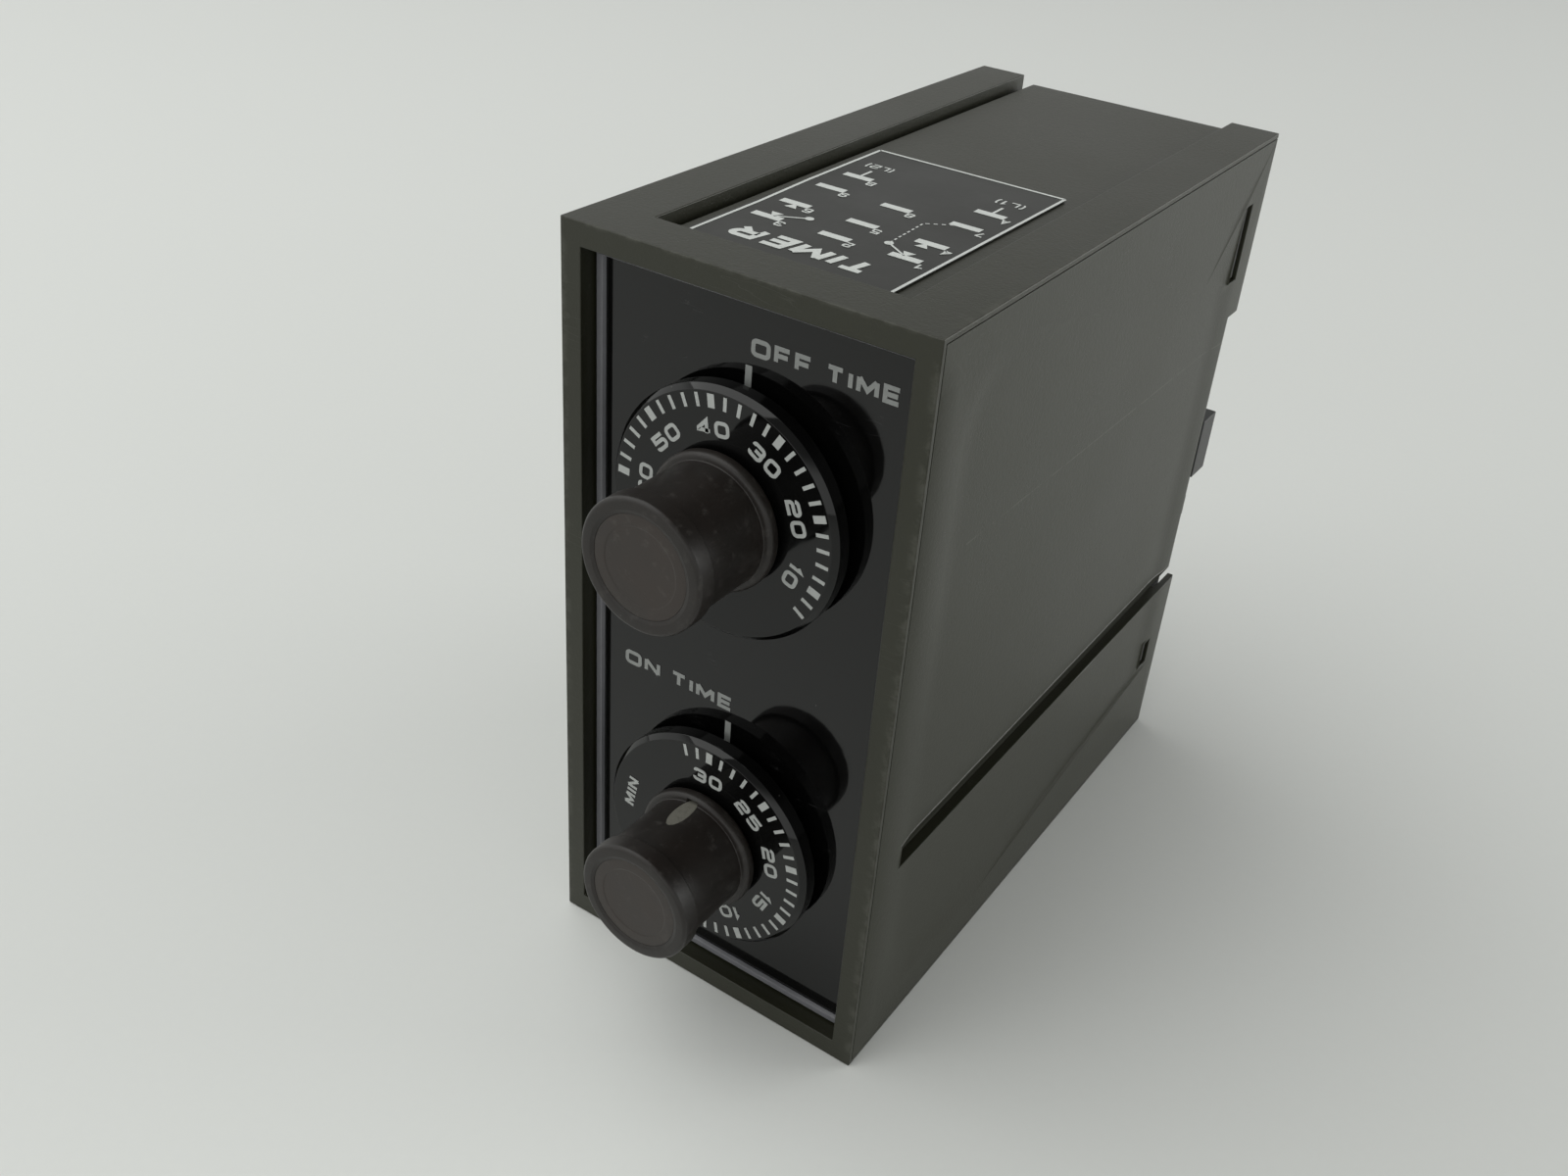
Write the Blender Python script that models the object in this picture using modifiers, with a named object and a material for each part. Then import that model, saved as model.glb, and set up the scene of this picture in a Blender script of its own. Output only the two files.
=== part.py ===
"""Plug-in panel timer: a moulded housing, two dial knobs on potentiometers, boards, a relay and a blade base.

X runs to the right and Y to the back as seen from the front, Z runs up. The bottom face stands on Z = 0.
"""

import math

import bmesh
import bpy
from mathutils import Vector

MM = 0.001
GAP = 0.3 * MM                  # air left between pieces that touch
OVERSHOOT = 2.0 * MM            # how far a cutter runs past the face that it cuts

# Housing: a drafted box with a collar round the front, and a cover over its right side
BODY_WIDTH = 44.5 * MM
BODY_HEIGHT = 94.6 * MM
BODY_DEPTH = 87.8 * MM
SIDE_DRAFT = 0.7 * MM           # how far each side leans in by the back edge
SIDE_WALL = 2.2 * MM
COVER_WALL = 1.6 * MM
COVER_LIP = 0.6 * MM            # thin edge of the housing left round the side cover
END_WALL = 3.4 * MM             # top and bottom walls
COLLAR_DEPTH = 6.4 * MM
BEZEL_SIDE = 2.65 * MM
BEZEL_END = 2.7 * MM
LEDGE_WIDTH = 2.4 * MM          # ledge behind the face plate

# Channels along the top and bottom faces, between the two ribs, deepest along the left rib
CHANNEL_HALF_WIDTH = 15.1 * MM
CHANNEL_DEPTH = 1.0 * MM
TRENCH_WIDTH = 1.5 * MM         # deeper trench along the foot of the left rib
TRENCH_DEPTH = 2.3 * MM

# Rail slots, latch notches and hook slots in both sides
RAIL_LOW = 27.6 * MM
RAIL_HEIGHT = 2.9 * MM
RAIL_DEPTH = 2.6 * MM
RAIL_RIB = 1.5 * MM             # wall left round the slot, inside the housing
NOTCH_HEIGHT = 42.7 * MM
NOTCH_DEPTH = 3.3 * MM
NOTCH_LUG = 1.3 * MM
NOTCH_LUG_HEIGHT = 3.3 * MM
HOOK_SLOT_WIDTH = 2.4 * MM
HOOK_SLOT_INSET = 4.2 * MM      # from the back edge
UPPER_SLOT_HEIGHT = 10.3 * MM
UPPER_SLOT_BELOW_TOP = 8.3 * MM
LOWER_SLOT_HEIGHT = 4.3 * MM
LOWER_SLOT_LOW = 13.7 * MM

# Face plate and wiring label
PLATE_DEPTH = 2.6 * MM          # from the bezel face to the plate's flat
PLATE_THICKNESS = 1.5 * MM
RIM_WIDTH = 1.2 * MM
RIM_HEIGHT = 0.5 * MM
LABEL_WIDTH = 24.6 * MM
LABEL_LENGTH = 38.2 * MM
LABEL_THICKNESS = 0.15 * MM
LABEL_START = 6.9 * MM
LABEL_LIFT = 0.05 * MM

# Dial knobs: lengths run forward from the bezel face along the knob's axis
OFF_AXIS_BELOW_TOP = 26.0 * MM
ON_AXIS_HEIGHT = 24.2 * MM
DIAL_RADIUS = 14.3 * MM
DIAL_BACK = -1.2 * MM
DIAL_THICKNESS = 2.3 * MM
DIAL_CHAMFER = 0.6 * MM
KNOB_RADIUS = 6.95 * MM
KNOB_LENGTH = 12.8 * MM
KNOB_BEAD = 0.85 * MM           # round bead at the knob's foot
KNOB_HEAD = 0.5 * MM            # how far the head stands proud of the barrel
KNOB_HEAD_LENGTH = 2.6 * MM
CAP_RADIUS = 5.7 * MM
CAP_THICKNESS = 1.2 * MM
CAP_INSET = 0.3 * MM
SCREW_RADIUS = 1.2 * MM
SCREW_HEIGHT = 3.0 * MM         # above the knob's foot
SCREW_INSET = 0.25 * MM
OFF_SCREW_ANGLE = -80.0         # degrees clockwise from straight up
ON_SCREW_ANGLE = -4.0
DIAL_STEPS = 64
KNOB_STEPS = 48

# Potentiometers behind the plate: depths run back from the bezel face
SHAFT_RADIUS = 3.0 * MM
SHAFT_RUN = 0.3 * MM            # running clearance round the shaft
NUT_WALL = 0.6 * MM             # from the nut's hole to the middle of a flat
NUT_THICKNESS = 2.0 * MM
BUSHING_WALL = 1.3 * MM
BRACKET_THICKNESS = 1.2 * MM
BRACKET_MARGIN = 2.5 * MM
POT_RADIUS = 8.2 * MM
POT_LENGTH = 9.8 * MM
POT_WALL = 0.9 * MM
POT_FLANGE = 1.2 * MM
WIPER_THICKNESS = 1.6 * MM
TRACK_WIDTH = 2.2 * MM
TRACK_THICKNESS = 0.7 * MM
POT_STEPS = 32

# Boards
BOARD_THICKNESS = 1.6 * MM
BOARD_EDGE = 2.4 * MM           # clearance round a board
BOARD_TO_RAIL = 0.7 * MM        # from a side board to the rail wall beside it
TERMINAL_BOARD_MARGIN = 10.0 * MM
PART_LIFT = 0.3 * MM            # a component stands this far off its board

# Transformer
CORE_LENGTH = 28.0 * MM         # along the housing's depth
CORE_HEIGHT = 25.0 * MM
CORE_STACK = 12.0 * MM
CORE_LEG = 4.5 * MM             # outer legs; the middle one is twice as wide
CORE_LOW = 6.0 * MM             # above the housing's floor
CORE_TO_BASE = 13.0 * MM        # from the core's back to the terminal board's face
COIL_WALL = 4.2 * MM

# Relay
RELAY_LENGTH = 27.0 * MM
RELAY_HEIGHT = 28.0 * MM
RELAY_DROP = 4.0 * MM           # below the housing's ceiling
RELAY_BASE_THICKNESS = 2.6 * MM
RELAY_CASE_WIDTH = 21.5 * MM
RELAY_CASE_WALL = 1.0 * MM
RELAY_TO_BOARD = 3.0 * MM
YOKE_THICKNESS = 1.5 * MM
YOKE_WIDTH = 14.0 * MM
WINDING_RADIUS = 6.6 * MM
WINDING_LENGTH = 12.6 * MM
POLE_RADIUS = 2.6 * MM
POLE_REACH = 0.8 * MM
ARMATURE_THICKNESS = 1.4 * MM
ARMATURE_AIR = 0.75 * MM

# Small components on the boards
CAPACITOR_RADIUS = 5.0 * MM
CAPACITOR_LENGTH = 14.0 * MM
CAPACITOR_PITCH = 13.0 * MM
CAPACITOR_DEPTH = 31.0 * MM
CHIP_SIZE = (3.2 * MM, 19.0 * MM, 6.4 * MM)
CHIP_DEPTH = 26.0 * MM
CHIP_PITCH = 12.0 * MM
RESISTOR_RADIUS = 1.2 * MM
RESISTOR_LENGTH = 6.4 * MM
RESISTOR_PITCH = 5.0 * MM
RESISTOR_DEPTH = 26.0 * MM

# Plug-in base, its blades and latch tabs
BASE_INSET = 1.5 * MM           # base face inside the housing's back edge
BASE_THICKNESS = 3.5 * MM
BOSS_THICKNESS = 5.0 * MM
BOSS_HALF_WIDTH = 14.2 * MM
BOSS_MARGIN = 6.0 * MM          # round the blades
BLADE_WIDTH = 4.75 * MM
BLADE_THICKNESS = 0.8 * MM
BLADE_REACH = 7.0 * MM
BLADE_TIP = 1.2 * MM
BLADE_HOLE = 0.75 * MM
BLADE_COLUMN_PITCH = 9.5 * MM
BLADE_ROW_PITCH = 14.0 * MM
HOOK_REACH = 1.1 * MM
LATCH_ABOVE_MIDDLE = 2.6 * MM
LATCH_HEIGHT = 9.0 * MM
LATCH_ARM = 1.7 * MM
LATCH_ROOT = 3.2 * MM           # how far the arm reaches into the housing
LATCH_REACH = 2.2 * MM          # beyond the housing's back edge
LATCH_TRAVEL_ROOM = 1.4 * MM

# Levels and places worked out from the sizes above
HALF_WIDTH = BODY_WIDTH / 2
MIDDLE_Z = BODY_HEIGHT / 2
CAVITY_LEFT = -HALF_WIDTH + SIDE_WALL
CAVITY_RIGHT = HALF_WIDTH - COVER_WALL - GAP
FLOOR_Z = END_WALL
CEILING_Z = BODY_HEIGHT - END_WALL
OFF_AXIS_Z = BODY_HEIGHT - OFF_AXIS_BELOW_TOP
ON_AXIS_Z = ON_AXIS_HEIGHT
KNOB_FOOT = DIAL_BACK + DIAL_THICKNESS + GAP
KNOB_FRONT = KNOB_FOOT + KNOB_LENGTH
BASE_FACE = BODY_DEPTH - BASE_INSET
BASE_BACK = BASE_FACE - BASE_THICKNESS
BLADE_END = BASE_FACE + BLADE_REACH
LEDGE_FACE = PLATE_DEPTH + PLATE_THICKNESS + GAP
BRACKET_FACE = COLLAR_DEPTH + GAP
BUSHING_FLANGE = BRACKET_FACE + BRACKET_THICKNESS + GAP
POT_FRONT = BUSHING_FLANGE + POT_FLANGE + GAP
POT_BACK = POT_FRONT + POT_LENGTH
TERMINAL_BOARD_BACK = BASE_BACK - BOSS_THICKNESS - 3.0 * MM
TERMINAL_BOARD_FACE = TERMINAL_BOARD_BACK - BOARD_THICKNESS
RAIL_INSIDE = HALF_WIDTH - RAIL_DEPTH - RAIL_RIB
RIGHT_BOARD_X = RAIL_INSIDE - BOARD_TO_RAIL - BOARD_THICKNESS    # the side boards' inner faces
LEFT_BOARD_X = -RIGHT_BOARD_X
LATCH_Z = MIDDLE_Z + LATCH_ABOVE_MIDDLE
BEZEL_Y = (KNOB_FRONT - BLADE_END) / 2    # centres the whole depth, knobs and blades included


def depth_y(depth):
    """World Y of a depth behind the bezel face."""
    return BEZEL_Y + depth


def start_scene():
    for obj in list(bpy.data.objects):
        bpy.data.objects.remove(obj, do_unlink=True)
    groups = []
    for name in ("dial_timer", "cutters"):
        group = bpy.data.collections.new(name)
        bpy.context.scene.collection.children.link(group)
        groups.append(group)
    return groups


PARTS, CUTTERS = start_scene()


def finish(name, colour, roughness, metallic=0.0):
    """A plain Principled material."""
    material = bpy.data.materials.new(name)
    material.use_nodes = True
    shader = material.node_tree.nodes["Principled BSDF"]
    shader.inputs["Base Color"].default_value = (*colour, 1.0)
    shader.inputs["Roughness"].default_value = roughness
    shader.inputs["Metallic"].default_value = metallic
    return material


HOUSING = finish("housing_plastic", (0.062, 0.063, 0.055), 0.5)
PLATE = finish("plate_gloss", (0.012, 0.013, 0.014), 0.08)
DIAL = finish("dial_gloss", (0.014, 0.014, 0.015), 0.1)
KNOB = finish("knob_plastic", (0.045, 0.038, 0.034), 0.4)
BLACK = finish("black_plastic", (0.012, 0.012, 0.012), 0.45)
LABEL = finish("label_film", (0.03, 0.032, 0.028), 0.35)
BRASS = finish("brass", (0.62, 0.47, 0.22), 0.3, 1.0)
STEEL = finish("plated_steel", (0.55, 0.55, 0.54), 0.35, 1.0)
CORE = finish("core_steel", (0.3, 0.3, 0.31), 0.5, 1.0)
BOARD = finish("board_laminate", (0.12, 0.2, 0.08), 0.45)
WINDING = finish("winding_tape", (0.5, 0.34, 0.1), 0.5)
CLEAR = finish("relay_case", (0.55, 0.57, 0.6), 0.2)
CARBON = finish("carbon_track", (0.02, 0.02, 0.02), 0.6)
SLEEVE = finish("capacitor_sleeve", (0.02, 0.05, 0.16), 0.35)
RESISTOR = finish("resistor_body", (0.42, 0.28, 0.14), 0.5)
SCREW = finish("set_screw_metal", (0.5, 0.47, 0.4), 0.4, 1.0)


def place(name, bm, centre, material, group):
    mesh = bpy.data.meshes.new(name)
    bm.to_mesh(mesh)
    bm.free()
    obj = bpy.data.objects.new(name, mesh)
    obj.location = centre
    group.objects.link(obj)
    if material:
        mesh.materials.append(material)
    return obj


def box(name, low, high, material=None, group=None):
    """An upright box between two corners given as x, depth, z."""
    low = Vector((low[0], depth_y(low[1]), low[2]))
    high = Vector((high[0], depth_y(high[1]), high[2]))
    bm = bmesh.new()
    bmesh.ops.create_cube(bm, size=1.0)
    bmesh.ops.scale(bm, vec=high - low, verts=bm.verts)
    return place(name, bm, (low + high) / 2, material, group or PARTS)


def rod(name, radius, start, end, material=None, group=None, steps=24):
    """A cylinder between two points given as x, depth, z."""
    start = Vector((start[0], depth_y(start[1]), start[2]))
    end = Vector((end[0], depth_y(end[1]), end[2]))
    along = end - start
    bm = bmesh.new()
    bmesh.ops.create_cone(bm, cap_ends=True, segments=steps, radius1=radius, radius2=radius, depth=along.length)
    turn = along.to_track_quat("Z", "Y").to_matrix()
    bmesh.ops.rotate(bm, cent=(0, 0, 0), matrix=turn, verts=bm.verts)
    obj = place(name, bm, (start + end) / 2, material, group or PARTS)
    round_shading(obj)
    return obj


def turned(name, profile, material=None, group=None, steps=KNOB_STEPS):
    """A solid of revolution about its own Z from (radius, height) points, outer side first, top to bottom."""
    bm = bmesh.new()
    points = [bm.verts.new((radius, 0.0, height)) for radius, height in profile]
    for first, second in zip(points, points[1:]):
        bm.edges.new((first, second))
    if profile[0][0] > 0:
        bm.edges.new((points[-1], points[0]))
    obj = place(name, bm, (0, 0, 0), material, group or PARTS)
    screw = obj.modifiers.new("turn", "SCREW")
    screw.steps = steps
    screw.render_steps = steps
    screw.use_merge_vertices = True
    screw.merge_threshold = 0.00001
    screw.use_smooth_shade = True
    return obj


def round_shading(obj):
    obj.data.shade_smooth()
    obj.data.set_sharp_from_angle(angle=math.radians(35))


def combine(target, other, operation):
    """Keep `other` as the hidden tool of a Boolean on `target`."""
    if other.name in PARTS.objects:
        PARTS.objects.unlink(other)
        CUTTERS.objects.link(other)
    other.hide_render = True
    other.display_type = "WIRE"
    boolean = target.modifiers.new(other.name, "BOOLEAN")
    boolean.operation = operation
    boolean.solver = "EXACT"
    boolean.object = other


def cut(target, *others):
    for other in others:
        combine(target, other, "DIFFERENCE")


def join(target, *others):
    for other in others:
        combine(target, other, "UNION")


def lean_sides(obj, left, right):
    """Draw a box's back end in at the sides by the housing's draft."""
    for vertex in obj.data.vertices:
        if vertex.co.y > 0:
            if vertex.co.x > 0 and right:
                vertex.co.x -= SIDE_DRAFT
            if vertex.co.x < 0 and left:
                vertex.co.x += SIDE_DRAFT


def axis_empty(name, height):
    """An empty on a knob's axis whose own Z points forward out of the panel."""
    empty = bpy.data.objects.new(name, None)
    empty.location = (0, BEZEL_Y, height)
    empty.rotation_euler = (math.pi / 2, 0, 0)
    PARTS.objects.link(empty)
    return empty


# Housing --------------------------------------------------------------------------------------------------

def side_cutters(side, wall_inside):
    """Rail slot, latch notch and hook slots for one side; side is -1 on the left and 1 on the right."""
    face = side * HALF_WIDTH
    outside = side * (HALF_WIDTH + OVERSHOOT)
    inside = side * (abs(wall_inside) - OVERSHOOT)
    label = "left" if side < 0 else "right"
    back = BODY_DEPTH + OVERSHOOT
    slot_back = BODY_DEPTH - HOOK_SLOT_INSET
    slot_front = slot_back - HOOK_SLOT_WIDTH
    upper = BODY_HEIGHT - UPPER_SLOT_BELOW_TOP
    spans = {
        "rail": (face - side * RAIL_DEPTH, COLLAR_DEPTH, back, RAIL_LOW, RAIL_LOW + RAIL_HEIGHT),
        "notch": (inside, BODY_DEPTH - NOTCH_DEPTH, back, RAIL_LOW + GAP, RAIL_LOW + NOTCH_HEIGHT),
        "upper_slot": (inside, slot_front, slot_back, upper - UPPER_SLOT_HEIGHT, upper),
        "lower_slot": (inside, slot_front, slot_back, LOWER_SLOT_LOW, LOWER_SLOT_LOW + LOWER_SLOT_HEIGHT),
    }
    for kind, (inner_x, front, rear, low, high) in spans.items():
        xs = sorted((inner_x, outside))
        yield box(f"{label}_{kind}_cutter", (xs[0], front, low), (xs[1], rear, high), group=CUTTERS)


def channel_cutters():
    """The shallow channel and its trench, along the top and the bottom."""
    for label, face, inward in (("top", BODY_HEIGHT, -1), ("bottom", 0.0, 1)):
        outside = face - inward * OVERSHOOT
        spans = {
            "channel": (-CHANNEL_HALF_WIDTH, CHANNEL_HALF_WIDTH, CHANNEL_DEPTH),
            "trench": (-CHANNEL_HALF_WIDTH, -CHANNEL_HALF_WIDTH + TRENCH_WIDTH, TRENCH_DEPTH),
        }
        for kind, (left, right, depth) in spans.items():
            low, high = sorted((outside, face + inward * depth))
            yield box(f"{label}_{kind}_cutter", (left, COLLAR_DEPTH, low),
                      (right, BODY_DEPTH + OVERSHOOT, high), group=CUTTERS)


def housing_shell():
    shell = box("housing_shell", (-HALF_WIDTH, 0, 0), (HALF_WIDTH, BODY_DEPTH, BODY_HEIGHT), HOUSING)
    lean_sides(shell, left=True, right=True)
    opening = HALF_WIDTH - BEZEL_SIDE
    past_back = BODY_DEPTH + OVERSHOOT
    outside = HALF_WIDTH + OVERSHOOT
    cut(shell,
        box("cavity_cutter", (CAVITY_LEFT, COLLAR_DEPTH, FLOOR_Z), (CAVITY_RIGHT + GAP, past_back, CEILING_Z)),
        box("cover_seat_cutter", (CAVITY_RIGHT, COVER_LIP, COVER_LIP),
            (outside, past_back, BODY_HEIGHT - COVER_LIP)),
        box("bezel_cutter", (-opening, -OVERSHOOT, BEZEL_END), (opening, LEDGE_FACE, BODY_HEIGHT - BEZEL_END)),
        box("ledge_cutter", (-opening + LEDGE_WIDTH, PLATE_DEPTH, BEZEL_END + LEDGE_WIDTH),
            (opening - LEDGE_WIDTH, COLLAR_DEPTH + OVERSHOOT, BODY_HEIGHT - BEZEL_END - LEDGE_WIDTH)))
    rail_wall = box("left_rail_wall", (-HALF_WIDTH + SIDE_WALL / 2, COLLAR_DEPTH + GAP, RAIL_LOW - RAIL_RIB),
                    (-HALF_WIDTH + RAIL_DEPTH + RAIL_RIB, BASE_BACK - GAP, RAIL_LOW + RAIL_HEIGHT + RAIL_RIB))
    join(shell, rail_wall)
    cut(shell, *channel_cutters(), *side_cutters(-1, CAVITY_LEFT))
    return shell


def side_cover():
    inside = HALF_WIDTH - COVER_WALL
    edge = COVER_LIP + GAP
    cover = box("side_cover", (inside, edge, edge), (HALF_WIDTH, BODY_DEPTH, BODY_HEIGHT - edge), HOUSING)
    lean_sides(cover, left=False, right=True)
    rail_wall = box("right_rail_wall",
                    (HALF_WIDTH - RAIL_DEPTH - RAIL_RIB, COLLAR_DEPTH + GAP, RAIL_LOW - RAIL_RIB),
                    (HALF_WIDTH - COVER_WALL / 2, BASE_BACK - GAP, RAIL_LOW + RAIL_HEIGHT + RAIL_RIB))
    join(cover, rail_wall)
    cut(cover, *side_cutters(1, inside))
    lug_low = RAIL_LOW + RAIL_HEIGHT + 8.5 * MM
    lug_back = BODY_DEPTH - NOTCH_DEPTH + NOTCH_LUG
    lug = box("notch_lug", (inside + GAP, lug_back - 2 * NOTCH_LUG, lug_low),
              (HALF_WIDTH - SIDE_DRAFT - GAP, lug_back, lug_low + NOTCH_LUG_HEIGHT))
    join(cover, lug)
    return cover


def face_plate():
    half = HALF_WIDTH - BEZEL_SIDE - GAP
    low = BEZEL_END + GAP
    high = BODY_HEIGHT - BEZEL_END - GAP
    front = PLATE_DEPTH - RIM_HEIGHT
    back = PLATE_DEPTH + PLATE_THICKNESS
    plate = box("face_plate", (-half, front, low), (half, back, high), PLATE)
    cut(plate, box("plate_flat_cutter", (-half + RIM_WIDTH, front - OVERSHOOT, low + RIM_WIDTH),
                   (half - RIM_WIDTH, PLATE_DEPTH, high - RIM_WIDTH)))
    for name, height in (("off", OFF_AXIS_Z), ("on", ON_AXIS_Z)):
        cut(plate, rod(f"{name}_plate_hole", SHAFT_RADIUS + 2 * SHAFT_RUN, (0, front - OVERSHOOT, height),
                       (0, back + OVERSHOOT, height), steps=32))
    return plate


def wiring_label():
    low = BODY_HEIGHT - CHANNEL_DEPTH + LABEL_LIFT
    return box("wiring_label", (-LABEL_WIDTH / 2, LABEL_START, low),
               (LABEL_WIDTH / 2, LABEL_START + LABEL_LENGTH, low + LABEL_THICKNESS), LABEL)


# Dial knobs -----------------------------------------------------------------------------------------------

def dial(name):
    front = DIAL_BACK + DIAL_THICKNESS
    bore = SHAFT_RADIUS + SHAFT_RUN
    profile = [(DIAL_RADIUS - DIAL_CHAMFER, front), (DIAL_RADIUS, front - DIAL_CHAMFER),
               (DIAL_RADIUS, DIAL_BACK), (bore, DIAL_BACK), (bore, front)]
    return turned(name, profile, DIAL, steps=DIAL_STEPS)


def knob(name):
    """Barrel with a round bead at its foot, a rounded head, a recess for the cap and a blind bore."""
    head = KNOB_RADIUS + KNOB_HEAD
    shoulder = KNOB_FRONT - KNOB_HEAD_LENGTH
    recess = CAP_RADIUS + GAP
    recess_floor = KNOB_FRONT - CAP_INSET - CAP_THICKNESS - GAP
    bore = SHAFT_RADIUS + SHAFT_RUN
    edge = KNOB_HEAD
    profile = [(0, recess_floor), (recess, recess_floor), (recess, KNOB_FRONT - CAP_INSET / 2),
               (recess + CAP_INSET / 2, KNOB_FRONT)]
    for step in range(4):
        turn = step / 3 * math.pi / 2
        profile.append((head - edge + edge * math.sin(turn), KNOB_FRONT - edge + edge * math.cos(turn)))
    profile += [(head, shoulder + KNOB_HEAD), (KNOB_RADIUS, shoulder)]
    bead_middle = KNOB_FOOT + KNOB_BEAD
    for step in range(5):
        turn = math.pi / 2 - step / 4 * math.pi
        profile.append((KNOB_RADIUS + KNOB_BEAD * math.cos(turn), bead_middle + KNOB_BEAD * math.sin(turn)))
    profile += [(bore, KNOB_FOOT), (bore, recess_floor - CAP_THICKNESS), (0, recess_floor - CAP_THICKNESS)]
    return turned(name, profile, KNOB)


def knob_cap(name):
    front = KNOB_FRONT - CAP_INSET
    back = front - CAP_THICKNESS
    edge = CAP_INSET
    return turned(name, [(0, front), (CAP_RADIUS - edge, front), (CAP_RADIUS, front - edge), (CAP_RADIUS, back),
                         (0, back)], KNOB)


def radial_rod(name, radius, inner, outer, angle, material=None):
    """A cylinder square to the knob's axis, at an angle clockwise from straight up seen from the front."""
    turn = math.radians(angle)
    out = Vector((math.sin(turn), math.cos(turn), 0))
    bm = bmesh.new()
    bmesh.ops.create_cone(bm, cap_ends=True, segments=20, radius1=radius, radius2=radius, depth=outer - inner)
    bmesh.ops.rotate(bm, cent=(0, 0, 0), matrix=out.to_track_quat("Z", "Y").to_matrix(), verts=bm.verts)
    centre = out * (inner + outer) / 2 + Vector((0, 0, KNOB_FOOT + SCREW_HEIGHT))
    obj = place(name, bm, centre, material, PARTS)
    round_shading(obj)
    return obj


def shaft(name):
    """Runs from inside the knob, through dial, plate and bushing, to the wiper."""
    front = KNOB_FRONT - CAP_INSET - 2 * CAP_THICKNESS - 3 * GAP
    back = -(POT_BACK - POT_WALL - TRACK_THICKNESS - 3 * GAP)
    chamfer = 2 * GAP
    profile = [(0, front), (SHAFT_RADIUS - chamfer, front), (SHAFT_RADIUS, front - chamfer), (SHAFT_RADIUS, back),
               (0, back)]
    return turned(name, profile, BRASS, steps=POT_STEPS)


def wiper(name):
    middle = -(POT_FRONT + POT_LENGTH / 2)
    inner = SHAFT_RADIUS + SHAFT_RUN
    outer = POT_RADIUS - POT_WALL - 2 * GAP
    top = middle + WIPER_THICKNESS / 2
    bottom = middle - WIPER_THICKNESS / 2
    return turned(name, [(outer, top), (outer, bottom), (inner, bottom), (inner, top)], BLACK, steps=POT_STEPS)


def bushing(name):
    """Threaded neck and the flange that closes the potentiometer's case."""
    bore = SHAFT_RADIUS + SHAFT_RUN
    neck = bore + BUSHING_WALL
    front = -LEDGE_FACE
    flange = -BUSHING_FLANGE
    profile = [(neck, front), (neck, flange), (POT_RADIUS, flange), (POT_RADIUS, flange - POT_FLANGE),
               (bore, flange - POT_FLANGE), (bore, front)]
    return turned(name, profile, BRASS, steps=POT_STEPS)


def pot_case(name):
    front = -POT_FRONT
    back = -POT_BACK
    inner = POT_RADIUS - POT_WALL
    profile = [(0, back + POT_WALL), (inner, back + POT_WALL), (inner, front), (POT_RADIUS, front),
               (POT_RADIUS, back), (0, back)]
    return turned(name, profile, STEEL, steps=POT_STEPS)


def track(name):
    back = -(POT_BACK - POT_WALL - GAP)
    outer = POT_RADIUS - POT_WALL - GAP
    inner = outer - TRACK_WIDTH
    top = back + TRACK_THICKNESS
    return turned(name, [(outer, top), (outer, back), (inner, back), (inner, top)], CARBON, steps=POT_STEPS)


def hex_nut(name):
    """Hexagon that holds the bushing, just behind the face plate."""
    hole = SHAFT_RADIUS + SHAFT_RUN + BUSHING_WALL + GAP
    corner = (hole + NUT_WALL) / math.cos(math.pi / 6)
    back = -(BRACKET_FACE - GAP)
    front = back + NUT_THICKNESS - GAP
    nut = turned(name, [(0, front), (corner, front), (corner, back), (0, back)], STEEL, steps=6)
    hole_tool = turned(f"{name}_hole", [(0, front + OVERSHOOT), (hole, front + OVERSHOOT),
                                        (hole, back - OVERSHOOT), (0, back - OVERSHOOT)], steps=24)
    cut(nut, hole_tool)
    return nut, hole_tool


def dial_knob(label, height, screw_angle):
    """Everything on one knob's axis; the turning pieces hang on the same empty as the fixed ones."""
    axis = axis_empty(f"{label}_axis", height)
    barrel = knob(f"{label}_knob")
    screw_hole = radial_rod(f"{label}_screw_hole", SCREW_RADIUS + GAP, SHAFT_RADIUS - GAP,
                            KNOB_RADIUS + OVERSHOOT, screw_angle)
    cut(barrel, screw_hole)
    screw = radial_rod(f"{label}_set_screw", SCREW_RADIUS, SHAFT_RADIUS + GAP, KNOB_RADIUS - SCREW_INSET,
                       screw_angle, SCREW)
    nut, nut_hole = hex_nut(f"{label}_nut")
    pieces = [barrel, screw_hole, screw, nut, nut_hole, dial(f"{label}_dial"), knob_cap(f"{label}_knob_cap"),
              shaft(f"{label}_shaft"), wiper(f"{label}_wiper"), bushing(f"{label}_bushing"),
              pot_case(f"{label}_pot_case"), track(f"{label}_track")]
    for piece in pieces:
        piece.parent = axis


# Inside the housing ---------------------------------------------------------------------------------------

def front_bracket():
    """Steel sheet behind the ledge that carries both potentiometers."""
    half = RAIL_INSIDE - GAP
    plate = box("front_bracket", (-half, BRACKET_FACE, FLOOR_Z + BRACKET_MARGIN),
                (half, BRACKET_FACE + BRACKET_THICKNESS, CEILING_Z - BRACKET_MARGIN), STEEL)
    hole = SHAFT_RADIUS + SHAFT_RUN + BUSHING_WALL + GAP
    for name, height in (("off", OFF_AXIS_Z), ("on", ON_AXIS_Z)):
        cut(plate, rod(f"{name}_bracket_hole", hole, (0, BRACKET_FACE - OVERSHOOT, height),
                       (0, BRACKET_FACE + BRACKET_THICKNESS + OVERSHOOT, height), steps=32))
    return plate


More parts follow.
